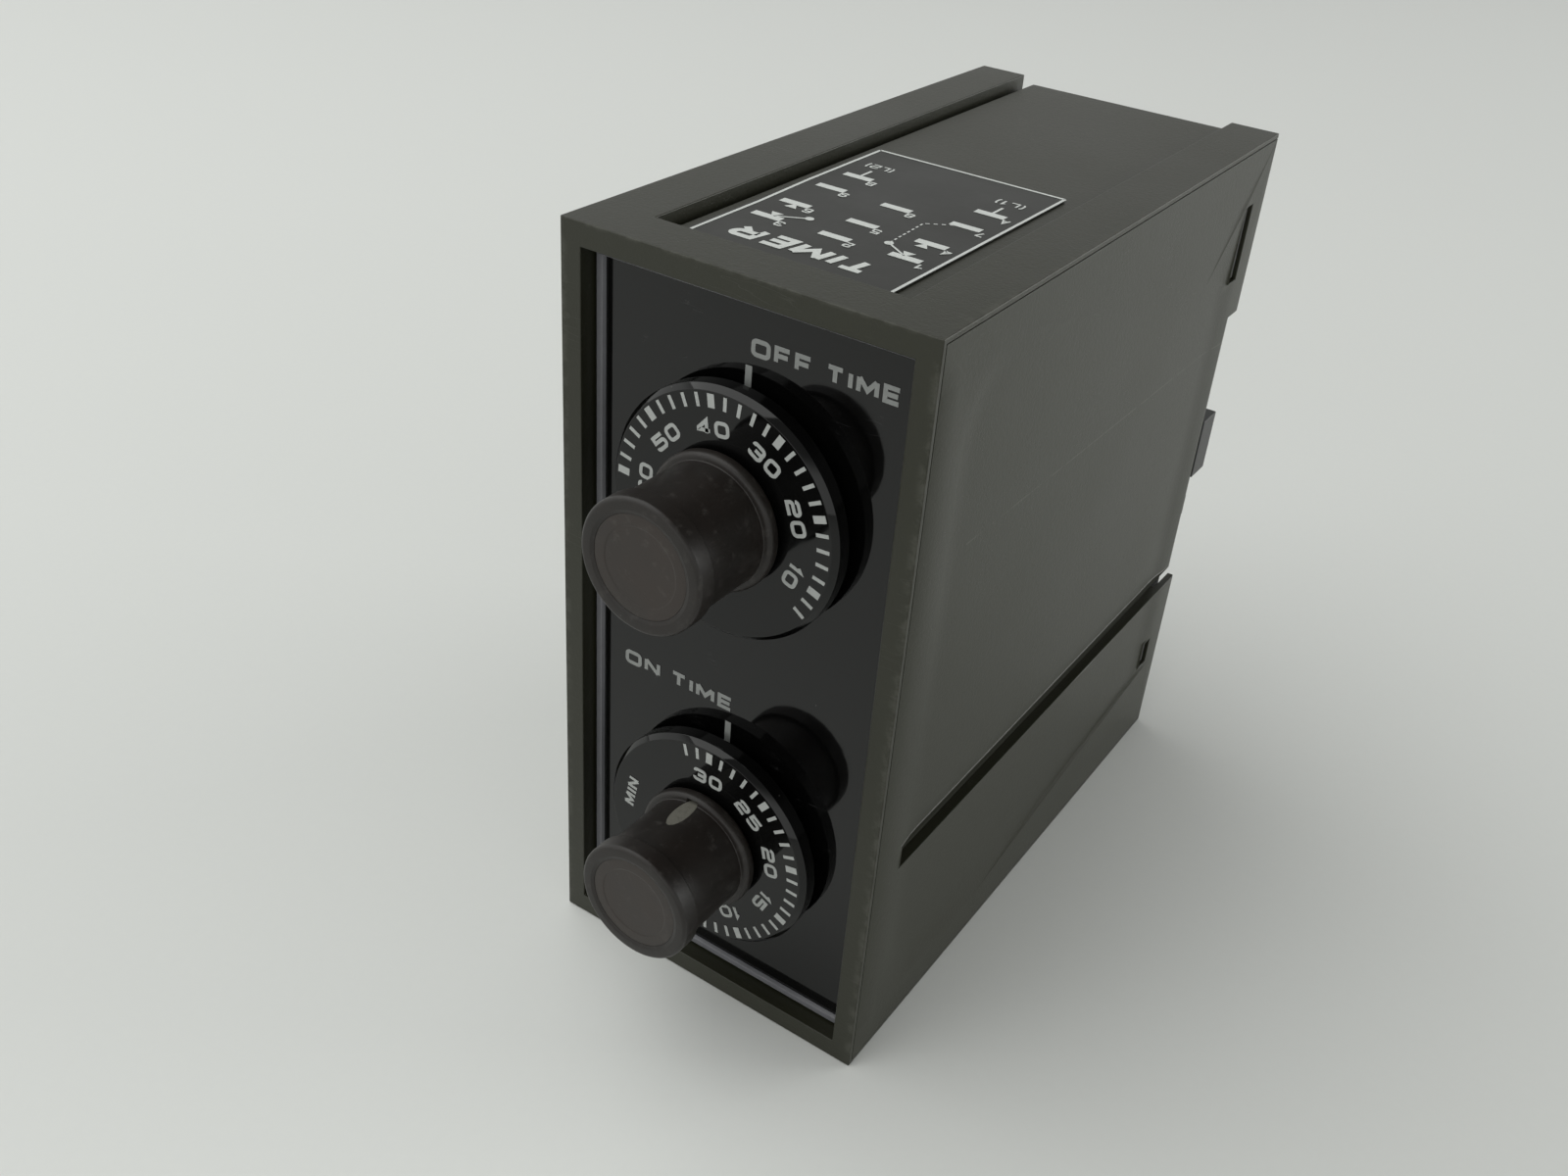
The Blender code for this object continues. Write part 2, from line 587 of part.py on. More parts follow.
def boards():
    front = BUSHING_FLANGE + 1.0 * MM
    back = BASE_BACK - GAP - 1.0 * MM
    low = FLOOR_Z + BOARD_EDGE
    high = CEILING_Z - BOARD_EDGE
    box("timing_board", (RIGHT_BOARD_X, front, low), (RIGHT_BOARD_X + BOARD_THICKNESS, back, high), BOARD)
    box("power_board", (LEFT_BOARD_X - BOARD_THICKNESS, front, low), (LEFT_BOARD_X, back, high), BOARD)
    terminals = box("terminal_board", (LEFT_BOARD_X + GAP, TERMINAL_BOARD_FACE, low + TERMINAL_BOARD_MARGIN),
                    (RIGHT_BOARD_X - GAP, TERMINAL_BOARD_BACK, high - TERMINAL_BOARD_MARGIN), BOARD)
    return terminals


def transformer():
    """Laminated core with two windows, and a winding round its middle leg."""
    back = TERMINAL_BOARD_FACE - CORE_TO_BASE + 10.0 * MM
    front = back - CORE_LENGTH
    low = FLOOR_Z + CORE_LOW
    high = low + CORE_HEIGHT
    left = -CORE_STACK / 2
    right = CORE_STACK / 2
    core = box("transformer_core", (left, front, low), (right, back, high), CORE)
    window = (CORE_LENGTH - 4 * CORE_LEG) / 2
    for name, start in (("front", front + CORE_LEG), ("back", back - CORE_LEG - window)):
        cut(core, box(f"{name}_window_cutter", (left - OVERSHOOT, start, low + CORE_LEG),
                      (right + OVERSHOOT, start + window, high - CORE_LEG)))
    middle = (front + back) / 2
    leg = CORE_LEG + GAP
    reach = leg + COIL_WALL
    coil = box("transformer_coil", (left - GAP - COIL_WALL, middle - reach, low + CORE_LEG + GAP),
               (right + GAP + COIL_WALL, middle + reach, high - CORE_LEG - GAP), WINDING)
    cut(coil, box("coil_bore_cutter", (left - GAP, middle - leg, low), (right + GAP, middle + leg, high)))


def relay():
    """Miniature relay on the power board: base, clear case, yoke, coil and the hinged armature."""
    back = TERMINAL_BOARD_FACE - RELAY_TO_BOARD
    front = back - RELAY_LENGTH
    high = CEILING_Z - RELAY_DROP
    low = high - RELAY_HEIGHT
    base_left = LEFT_BOARD_X + PART_LIFT
    base_right = base_left + RELAY_BASE_THICKNESS
    box("relay_base", (base_left, front, low), (base_right, back, high), BLACK)
    case_left = base_right + GAP
    case_right = case_left + RELAY_CASE_WIDTH
    wall = RELAY_CASE_WALL
    case = box("relay_case", (case_left, front, low), (case_right, back, high), CLEAR)
    cut(case, box("relay_case_cutter", (case_left - OVERSHOOT, front + wall, low + wall),
                  (case_right - wall, back - wall, high - wall)))
    middle = (front + back) / 2
    yoke_low = low + wall + 1.0 * MM
    yoke_top = yoke_low + YOKE_THICKNESS
    yoke_left = case_left + 0.5 * MM
    heel_right = yoke_left + YOKE_THICKNESS
    coil_left = heel_right + GAP
    coil_right = coil_left + WINDING_LENGTH
    pole_end = coil_right + POLE_REACH
    axis_z = yoke_top + 1.0 * MM + WINDING_RADIUS
    half = YOKE_WIDTH / 2
    yoke = box("relay_yoke", (yoke_left, middle - half, yoke_low), (pole_end, middle + half, yoke_top), CORE)
    join(yoke, box("yoke_heel", (yoke_left, middle - half, yoke_low + YOKE_THICKNESS / 2),
                   (heel_right, middle + half, axis_z + WINDING_RADIUS)))
    coil = rod("relay_coil", WINDING_RADIUS, (coil_left, middle, axis_z), (coil_right, middle, axis_z), WINDING)
    join(coil, rod("relay_pole", POLE_RADIUS, (coil_right - 1.0 * MM, middle, axis_z), (pole_end, middle, axis_z)))
    plate_left = pole_end + ARMATURE_AIR
    box("relay_armature", (plate_left, middle - half, yoke_low),
        (plate_left + ARMATURE_THICKNESS, middle + half, axis_z + WINDING_RADIUS + 1.0 * MM), STEEL)


def small_components():
    for index in range(2):
        low = FLOOR_Z + BOARD_EDGE + 10.0 * MM + index * CAPACITOR_PITCH
        start = LEFT_BOARD_X + PART_LIFT
        rod(f"filter_capacitor_{index + 1}", CAPACITOR_RADIUS, (start, CAPACITOR_DEPTH, low),
            (start + CAPACITOR_LENGTH, CAPACITOR_DEPTH, low), SLEEVE)
    thickness, length, height = CHIP_SIZE
    for index in range(2):
        low = MIDDLE_Z - 8.0 * MM + index * CHIP_PITCH
        right = RIGHT_BOARD_X - PART_LIFT
        box(f"timing_chip_{index + 1}", (right - thickness, CHIP_DEPTH, low),
            (right, CHIP_DEPTH + length, low + height), BLACK)
    for index in range(4):
        start = RESISTOR_DEPTH + index * RESISTOR_PITCH
        x = RIGHT_BOARD_X - PART_LIFT - RESISTOR_RADIUS
        low = MIDDLE_Z - 20.0 * MM
        rod(f"timing_resistor_{index + 1}", RESISTOR_RADIUS, (x, start, low), (x, start, low + RESISTOR_LENGTH),
            RESISTOR, steps=16)


# Plug-in base ---------------------------------------------------------------------------------------------

def blade_places():
    """Terminal name with its column and row, counted from the middle of the base."""
    left, middle, right = BLADE_COLUMN_PITCH, 0.0, -BLADE_COLUMN_PITCH
    rows = (("1", "2", "3"), ("4", "5", "6"), ("7", "8", "9"), ("a", None, "b"))
    for row, names in enumerate(rows):
        z = MIDDLE_Z + (1.5 - row) * BLADE_ROW_PITCH
        for name, x in zip(names, (left, middle, right)):
            if name:
                yield name, x, z


def blade(name, x, z):
    start = TERMINAL_BOARD_BACK + GAP
    half_width = BLADE_WIDTH / 2
    half_thickness = BLADE_THICKNESS / 2
    piece = box(f"terminal_{name}", (x - half_width, start, z - half_thickness),
                (x + half_width, BLADE_END, z + half_thickness), BRASS)
    tip = bmesh.new()
    tip.from_mesh(piece.data)
    corners = [edge for edge in tip.edges if all(v.co.y > 0 for v in edge.verts)
               and abs(edge.verts[0].co.z - edge.verts[1].co.z) > GAP]
    bmesh.ops.bevel(tip, geom=corners, offset=BLADE_TIP, segments=1, profile=0.5, affect="EDGES")
    tip.to_mesh(piece.data)
    tip.free()
    hole_at = BLADE_END - BLADE_REACH / 2
    cut(piece, rod(f"terminal_{name}_hole", BLADE_HOLE, (x, hole_at, z - OVERSHOOT), (x, hole_at, z + OVERSHOOT),
                   steps=16))


def plug_base():
    left = CAVITY_LEFT + GAP
    right = CAVITY_RIGHT - GAP
    base = box("plug_base", (left, BASE_BACK, FLOOR_Z + GAP), (right, BASE_FACE, CEILING_Z - GAP), BLACK)
    rows_reach = 1.5 * BLADE_ROW_PITCH + BOSS_MARGIN
    join(base, box("base_boss", (-BOSS_HALF_WIDTH, BASE_BACK - BOSS_THICKNESS, MIDDLE_Z - rows_reach),
                   (BOSS_HALF_WIDTH, BASE_BACK + BASE_THICKNESS / 2, MIDDLE_Z + rows_reach)))
    slot_back = BODY_DEPTH - HOOK_SLOT_INSET
    slot_front = slot_back - HOOK_SLOT_WIDTH
    upper = BODY_HEIGHT - UPPER_SLOT_BELOW_TOP
    hooks = (("upper", upper - UPPER_SLOT_HEIGHT, upper), ("lower", LOWER_SLOT_LOW,
                                                           LOWER_SLOT_LOW + LOWER_SLOT_HEIGHT))
    for label, low, high in hooks:
        for side, edge in ((-1, left), (1, right)):
            root = edge - side * 2 * HOOK_REACH
            tip = edge + side * HOOK_REACH
            ends = sorted((root, tip))
            name = f"{label}_hook_{'right' if side > 0 else 'left'}"
            join(base, box(name, (ends[0], slot_front + GAP, low + GAP), (ends[1], slot_back - GAP, high - GAP)))
    for name, x, z in blade_places():
        half_width = BLADE_WIDTH / 2 + GAP
        half_thickness = BLADE_THICKNESS / 2 + GAP
        cut(base, box(f"base_slot_{name}",
                      (x - half_width, BASE_BACK - BOSS_THICKNESS - OVERSHOOT, z - half_thickness),
                      (x + half_width, BASE_FACE + OVERSHOOT, z + half_thickness)))
    room = LATCH_HEIGHT / 2 + GAP
    for name, inner, outer in (("left", left - OVERSHOOT, left + LATCH_ARM + LATCH_TRAVEL_ROOM),
                               ("right", right - LATCH_ARM - LATCH_TRAVEL_ROOM, right + OVERSHOOT)):
        cut(base, box(f"{name}_latch_pocket", (inner, BASE_BACK - OVERSHOOT, LATCH_Z - room),
                      (outer, BASE_FACE + OVERSHOOT, LATCH_Z + room)))


def latch(side):
    """Spring tab in the notch of one side: an arm in the base's pocket and a wider head outside."""
    label = "right" if side > 0 else "left"
    edge = CAVITY_RIGHT - GAP if side > 0 else CAVITY_LEFT + GAP
    inner = edge - side * LATCH_ARM
    half = LATCH_HEIGHT / 2
    front = BASE_BACK - LATCH_ROOT
    back = BODY_DEPTH + LATCH_REACH
    low, high = sorted((inner, edge))
    arm = box(f"latch_tab_{label}", (low, front, LATCH_Z - half + GAP), (high, back, LATCH_Z + half - GAP), BLACK)
    head_front = BODY_DEPTH - NOTCH_DEPTH + GAP + 0.4 * MM
    tip = side * (HALF_WIDTH - SIDE_DRAFT)
    low, high = sorted((inner + side * LATCH_ARM / 2, tip))
    join(arm, box(f"latch_head_{label}", (low, head_front, LATCH_Z - half), (high, back - GAP, LATCH_Z + half)))


def build():
    housing_shell()
    side_cover()
    face_plate()
    wiring_label()
    dial_knob("off_time", OFF_AXIS_Z, OFF_SCREW_ANGLE)
    dial_knob("on_time", ON_AXIS_Z, ON_SCREW_ANGLE)
    front_bracket()
    boards()
    transformer()
    relay()
    small_components()
    plug_base()
    for name, x, z in blade_places():
        blade(name, x, z)
    latch(-1)
    latch(1)


build()
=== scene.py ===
import math
from functools import partialmethod

import bmesh
import bpy
from bpy.props import FloatProperty, FloatVectorProperty, IntProperty, PointerProperty
from mathutils import Matrix, Vector


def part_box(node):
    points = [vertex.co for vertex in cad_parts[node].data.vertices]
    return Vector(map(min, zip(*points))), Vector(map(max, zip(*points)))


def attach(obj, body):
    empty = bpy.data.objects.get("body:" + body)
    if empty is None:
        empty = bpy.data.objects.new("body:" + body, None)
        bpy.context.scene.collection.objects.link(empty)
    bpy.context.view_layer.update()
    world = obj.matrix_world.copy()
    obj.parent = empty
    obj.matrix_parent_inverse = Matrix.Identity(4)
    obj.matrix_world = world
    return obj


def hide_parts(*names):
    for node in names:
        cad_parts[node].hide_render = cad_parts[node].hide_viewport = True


bl_info = {
    "name": "Dial Timer Looks",
    "version": (1, 0, 0),
    "blender": (4, 5, 0),
    "location": "View3D > Sidebar > Dial Timer",
    "description": "Builds the visible surfaces of a plug-in timer with two dials round its fixed frame",
    "category": "Object",
}

MM = 0.001
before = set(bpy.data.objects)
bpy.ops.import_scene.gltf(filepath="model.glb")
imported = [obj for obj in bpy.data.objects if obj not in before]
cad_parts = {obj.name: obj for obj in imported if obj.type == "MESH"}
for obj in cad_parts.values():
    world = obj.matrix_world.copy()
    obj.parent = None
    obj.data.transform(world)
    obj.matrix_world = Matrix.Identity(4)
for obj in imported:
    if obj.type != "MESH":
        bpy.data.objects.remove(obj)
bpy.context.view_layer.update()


def spans(node):
    """A frame node's lowest and highest corner, and its middle."""
    low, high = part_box(node)
    return low, high, (low + high) / 2


SHELL_LOW, SHELL_HIGH, _ = spans("housing_shell")
BEZEL_Y = SHELL_LOW.y
TIMES = ("off_time", "on_time")
AXIS_Z = {time: spans(f"{time}_knob_cap")[2].z for time in TIMES}
PLATE_LOW, PLATE_HIGH, _ = spans("face_plate")
BASE_BACK_Y = spans("plug_base")[1].y
RIM_HEIGHT = 0.5 * MM           # the face plate's rim above its flat
RAIL_TOP_Z = 30.5 * MM          # upper edge of the rail slots in the sides
TERMINALS = "123456789ab"
KNOB_BORE = 3.3 * MM            # radius of the hole through a dial and into a knob
SLOT_FORWARD = 0.5 * MM         # how far the slot's middle is in front of the set screw's
INK_STEP = 0.008 * MM           # rise from one line of a letter to the next, so that crossings stay clean
COVER_X = 19 * MM               # nothing of the side cover's joint is further in than this
SIDE_X = 21 * MM                # only a side's big outer face has its middle beyond this
HALF_SEAM = 0.15 * MM           # half of the joint round the side cover, as the frame has it
SEAM_REACH = 0.2 * MM           # an edge this near the joint's middle belongs to the joint
SEAM_CLOSE = 0.2 * MM           # how far the cover's rim grows into the joint
FLOOR_DROP = 0.1 * MM           # from the timer's foot down to the floor
SKY_FROM, SKY_TO = 0.36, 0.6    # how steeply up the low light starts and ends its change into sky
NEAR_LIGHT, FAR_LIGHT = 1.25, 0.6    # strength of the room's light in front of the timer and behind it
DIAL_BEVEL, DIAL_BACK_BEVEL = 0.12 * MM, 0.15 * MM
MATERIALS = {}

LIGHT_TINT = (0.985, 1.0, 0.98)


def line(*points):
    """An open path of a letter from (x, y) or (x, y, rounding) points."""
    return False, tuple(point if len(point) == 3 else (*point, 0) for point in points)


def ring(*points):
    """A closed path of a letter."""
    return True, line(*points)[1]


# Letters in a box one unit wide and tall: the share of a full width, then the paths
ROUND = 0.25                    # usual rounding of a letter's corners
LETTER_GAP = 0.2                # between letters, as a share of a full width
LETTERS = {
    " ": (0.35, []),
    "0": (1.0, [ring((0, 0, 0.3), (1, 0, 0.3), (1, 1, 0.3), (0, 1, 0.3))]),
    "1": (0.45, [line((0, 0.75), (0.75, 1), (0.75, 0))]),
    "2": (1.0, [line((0, 0.75), (0, 1, ROUND), (1, 1, ROUND), (1, 0.5, ROUND * 0.8), (0, 0.5, ROUND
          * 0.8), (0, 0), (1, 0))]),
    "3": (1.0, [line((0, 0.78), (0, 1, ROUND * 0.7), (1, 1, ROUND), (1, 0.5, ROUND * 0.6), (0.3,
          0.5)), line((0.7, 0.5), (1, 0.5, ROUND * 0.6), (1, 0, ROUND), (0, 0, ROUND * 0.7), (0,
          0.22))]),
    "4": (1.0, [line((0.72, 0), (0.72, 1), (0, 0.34), (0, 0.22), (1, 0.22))]),
    "5": (1.0, [line((1, 1), (0, 1), (0, 0.58), (1, 0.58, ROUND), (1, 0, ROUND), (0, 0, ROUND *
          0.6), (0, 0.2))]),
    "6": (1.0, [line((1, 0.8), (1, 1, ROUND * 0.7), (0, 1, ROUND), (0, 0.3)), ring((0, 0, ROUND),
          (1, 0, ROUND), (1, 0.56, ROUND), (0, 0.56, ROUND * 0.4))]),
    "7": (0.95, [line((0, 1), (1, 1, 0.1), (0.35, 0))]),
    "8": (1.0, [ring((0, 0, ROUND), (1, 0, ROUND), (1, 0.54, ROUND * 0.8), (0, 0.54, ROUND * 0.8)),
          ring((0.06, 0.54, ROUND * 0.6), (0.94, 0.54, ROUND * 0.6), (0.94, 1, ROUND), (0.06, 1,
          ROUND))]),
    "9": (1.0, [line((0, 0.2), (0, 0, ROUND * 0.7), (1, 0, ROUND), (1, 0.7)), ring((0, 1, ROUND),
          (1, 1, ROUND), (1, 0.44, ROUND * 0.4), (0, 0.44, ROUND))]),
    "A": (1.0, [line((0, 0), (0.5, 1), (1, 0)), line((0.2, 0.32), (0.8, 0.32))]),
    "B": (1.0, [ring((0, 0), (1, 0, ROUND), (1, 0.52, ROUND), (0, 0.52)), ring((0, 0.52), (0.93,
          0.52, ROUND * 0.7), (0.93, 1, ROUND), (0, 1))]),
    "E": (0.95, [line((1, 1), (0, 1), (0, 0), (1, 0)), line((0, 0.5), (0.92, 0.5))]),
    "F": (0.95, [line((0, 0), (0, 1), (1, 1)), line((0, 0.48), (0.9, 0.48))]),
    "I": (0.24, [line((0.5, 0), (0.5, 1))]),
    "L": (0.85, [line((0, 1), (0, 0), (1, 0))]),
    "M": (1.2, [line((0, 0), (0, 1)), line((0.04, 1), (0.5, 0.22), (0.96, 1)), line((1, 1), (1,
          0))]),
    "N": (1.05, [line((0, 0), (0, 1)), line((0.03, 1), (0.97, 0)), line((1, 1), (1, 0))]),
    "O": (1.1, [ring((0, 0, ROUND), (1, 0, ROUND), (1, 1, ROUND), (0, 1, ROUND))]),
    "R": (1.05, [line((0, 0), (0, 1), (1, 1, ROUND), (1, 0.45, ROUND), (0.05, 0.45)), line((0.5,
          0.45), (1, 0))]),
    "T": (1.0, [line((0, 1), (1, 1)), line((0.5, 1), (0.5, 0))]),
    "(": (0.3, [line((1, 1.1), (0, 0.85, 0.3), (0, 0.15, 0.3), (1, -0.1))]),
    ")": (0.3, [line((0, 1.1), (1, 0.85, 0.3), (1, 0.15, 0.3), (0, -0.1))]),
}

# Dial, words, middle, height above the dial's axis and overall width, in millimetres
PLATE_WORDS = (("off_time", "OFF TIME", 8.75, 17.8, 17.2), ("on_time", "ON TIME", -7.35, 18.2, 15.6))

# Angles run clockwise from straight up, in degrees: a value stands at zero - pitch * value
SCALES = {
    "off_time": {"first": 60, "last": 6, "every": 2, "numbered": 10, "zero": 148.2, "pitch": 3.903,
                 "radius": 9.8, "words": ()},
    "on_time": {"first": 32, "last": 3, "every": 1, "numbered": 5, "zero": 229.6, "pitch": 7.62,
                "radius": 9.65, "words": (("MIN", -80.0, 11.1, 1.7, 4.4),)},
}

# The label's drawing: x and depth behind the bezel, in millimetres
LABEL_BARS = (("1", 8.4, 16.6), ("4", 8.4, 21.8), ("7", 8.4, 29.0), ("A", 8.4, 34.4), ("2", 0.0, 16.6),
              ("5", 0.0, 21.9), ("8", 0.0, 28.7), ("3", -8.5, 16.7), ("6", -8.6, 22.1), ("9", -8.7, 29.2),
              ("B", -8.6, 34.6))
LABEL_LINES = (
    ((12.1, 7.2), (12.1, 45.0), 0.35, 0.0), ((12.1, 45.0), (-12.1, 45.0), 0.35, 0.0),
    ((-12.1, 45.0), (-12.1, 30.0), 0.35, 0.0), ((-12.1, 30.0), (-11.8, 20.0), 0.35, 0.0),
    ((-11.8, 20.0), (-11.8, 7.2), 0.35, 0.0),
    ((5.0, 19.0), (8.0, 17.0), 0.22, 0.0), ((-4.8, 19.1), (-8.0, 17.1), 0.22, 0.0),
    ((5.0, 19.0), (4.6, 26.6), 0.18, 0.45), ((4.6, 26.6), (7.4, 28.6), 0.18, 0.45),
    ((8.4, 35.0), (8.4, 37.2), 0.3, 0.0), ((-8.6, 35.2), (-8.6, 37.4), 0.3, 0.0),
)
LABEL_DOTS = ((5.0, 19.0), (-4.8, 19.1))
LABEL_ARROWS = ((8.0, 17.7, 0), (8.0, 20.7, 180), (-8.2, 17.8, 0), (-8.3, 21.0, 180))
LABEL_WORDS = (("TIMER", -0.4, 11.3, 3.3, 16.5, 0.8, 0.2), ("(L1)", 8.4, 39.0, 1.4, 3.4, 0.2, 0.0),
               ("(L2)", -8.6, 39.2, 1.4, 3.4, 0.2, 0.0))

# The finish of each carried-over frame node, by a word in its name
INSIDE = {"nut": "steel", "pot_case": "steel", "front_bracket": "steel", "armature": "steel",
          "shaft": "brass", "bushing": "brass", "wiper": "black", "track": "carbon", "board": "board",
          "transformer_core": "core", "yoke": "core", "coil": "winding", "relay_base": "black",
          "relay_case": "case", "capacitor": "sleeve", "chip": "black", "resistor": "resistor"}

# Name, place, aim, size and share of the key power
SOFT_LIGHTS = (
    ("overhead_light", (-0.5, -0.3, 1.0), (0.0, 0.0, 0.0), (1.4, 1.2), 1.0),
    ("right_light", (1.15, 1.2, 0.4), (0.0, 0.0, 0.05), (1.0, 0.6), 1.1),
)


# Settings -------------------------------------------------------------------

def number(name, description, default, **more):
    return FloatProperty(name=name, description=description, default=default, **more)


def length(name, description, millimetres):
    """A size that can be changed in the sidebar, given here in millimetres."""
    return FloatProperty(name=name, description=description, default=millimetres * MM, unit="LENGTH",
                         subtype="DISTANCE", precision=5, min=0.0)


def colour(name, description, red, green, blue):
    return FloatVectorProperty(name=name, description=description, default=(red, green, blue), size=3,
                               subtype="COLOR", min=0.0, max=1.0)


class HousingSettings(bpy.types.PropertyGroup):
    colour: colour("Plastic", "Colour of the housing's plastic", 0.0165, 0.0168, 0.0090)
    edge: length("Edge", "Width of the broken edges of the mouldings", 0.13)
    seam_edge: length("Seam edge", "Width of the broken edges along the side cover's joint", 0.04)
    sink: length("Panel sink", "Depth of the soft panel in each side", 0.45)
    sink_margin: length("Panel margin", "From the side's edges to the panel", 3.8)
    sink_softness: length("Panel softness", "Width of the panel's sloping border", 5.2)
    sink_corner: length("Panel corner", "Corner radius of the panel", 10.0)
    cell: length("Cell", "Size of the mesh cells of the panel", 1.4)


class PlateSettings(bpy.types.PropertyGroup):
    colour: colour("Plate", "Colour of the glossy face plate", 0.0015, 0.0015, 0.0015)
    print_colour: colour("Print", "Colour of the white print", 0.62, 0.64, 0.62)
    bead_width: length("Bead width", "Width of the bead round the plate's border", 1.02)
    bead_slope: length("Bead slope", "Width of the bead's sloping inner side", 0.25)
    print_lift: length("Print lift", "Gap between a surface and the print on it", 0.02)
    print_thickness: length("Print thickness", "Thickness of the printed ink", 0.03)
    word_height: length("Word height", "Letter height of the setting names", 1.95)
    word_stroke: length("Word stroke", "Stroke width of the setting names", 0.5)
    index_width: length("Index width", "Width of the pale index lines", 0.8)
    index_length: length("Index length", "Length of the pale index lines", 3.2)
    index_top: length("Index top", "Height of the index lines' upper ends above the dial's axis", 15.7)


class DialSettings(bpy.types.PropertyGroup):
    colour: colour("Dial", "Colour of the glossy dials", 0.002, 0.002, 0.002)
    chamfer: length("Chamfer", "Width of the dial's front chamfer", 0.6)
    tick_outer: length("Tick radius", "Radius of the outer ends of the ticks", 13.45)
    tick_length: length("Tick length", "Length of every tick", 1.5)
    tick_width: length("Tick width", "Width of a plain tick", 0.42)
    bold_width: length("Bold width", "Width of a numbered tick", 0.85)
    number_height: length("Number height", "Height of the numbers", 1.8)
    number_span: length("Number width", "Width of one full figure of the numbers", 1.85)
    number_stroke: length("Number stroke", "Stroke width of the numbers", 0.42)
    steps: IntProperty(name="Steps", description="Facets round a dial or a knob", default=160, min=32)


class KnobSettings(bpy.types.PropertyGroup):
    colour: colour("Knob", "Colour of the knobs", 0.0105, 0.0083, 0.0070)
    bead: length("Bead", "Radius of the bead at the knob's foot", 0.85)
    head: length("Head", "How far the head stands proud of the barrel", 0.5)
    head_length: length("Head length", "Length of the head", 2.6)
    rounding: length("Rounding", "Rounding of the head's rim", 0.5)
    step: length("Cap step", "Height of the fine step turned in the cap", 0.05)
    slot_length: length("Slot length", "Length of the slot over the set screw", 5.4)
    slot_width: length("Slot width", "Width of the slot over the set screw", 2.1)
    slot_depth: length("Slot depth", "How deep the barrel is cut for the slot", 0.22)


class StageSettings(bpy.types.PropertyGroup):
    floor_colour: colour("Floor", "Colour of the floor", 0.70, 0.71, 0.69)
    floor_size: number("Floor size", "Width of the floor", 30.0, unit="LENGTH")
    sky: number("Sky", "Strength of the even light from above", 0.22)
    horizon: number("Horizon", "Strength of the light from low all round", 1.1)
    key_power: number("Key power", "Power of the large overhead light", 10.0, unit="POWER")
    camera_place: FloatVectorProperty(name="Camera place", description="Where the camera stands", size=3,
                                      default=(0.07869, -0.15148, 0.14804), subtype="TRANSLATION",
                                      unit="LENGTH", precision=5)
    lens: number("Lens", "Focal length of the camera in millimetres", 35.24)
    azimuth: number("Azimuth", "Camera's turn to the right of the front, in degrees", 32.37)
    elevation: number("Elevation", "Camera's height above the horizon, in degrees", 32.79)
    roll: number("Roll", "Camera's roll, in degrees", 4.5)


class TimerSettings(bpy.types.PropertyGroup):
    housing: PointerProperty(type=HousingSettings, name="Housing", description="Housing sizes and colours")
    plate: PointerProperty(type=PlateSettings, name="Plate", description="Face plate sizes and colours")
    dial: PointerProperty(type=DialSettings, name="Dial", description="Dial sizes and colours")
    knob: PointerProperty(type=KnobSettings, name="Knob", description="Knob sizes and colours")
    stage: PointerProperty(type=StageSettings, name="Stage", description="Floor, lights and camera")


def settings():
    return bpy.context.scene.dial_timer


# Materials ------------------------------------------------------------------

class Value:
    """A socket in a material whose arithmetic adds Math nodes."""

    def __init__(self, finish, socket):
        self.finish = finish
        self.socket = socket

    def math(self, operation, *others, first=None):
        inputs = [self if first is None else first, *others]
        return self.finish.node("ShaderNodeMath", {"operation": operation}, dict(enumerate(inputs)))

    def __rsub__(self, other):
        return self.math("SUBTRACT", self, first=other)

    __add__ = __radd__ = partialmethod(math, "ADD")
    __sub__ = partialmethod(math, "SUBTRACT")
    __mul__ = partialmethod(math, "MULTIPLY")
    __lt__ = partialmethod(math, "LESS_THAN")
    __gt__ = partialmethod(math, "GREATER_THAN")
    __abs__ = partialmethod(math, "ABSOLUTE")

    def smooth(self, low, high):
        """0 below low, 1 above high, with a soft step between; low may be above high for the reverse."""
        turned_round = low > high
        start, end = sorted((low, high))
        step = self.finish.node("ShaderNodeMapRange", {"interpolation_type": "SMOOTHSTEP"},
                                {"Value": self, "From Min": start, "From Max": end})
        return 1.0 - step if turned_round else step


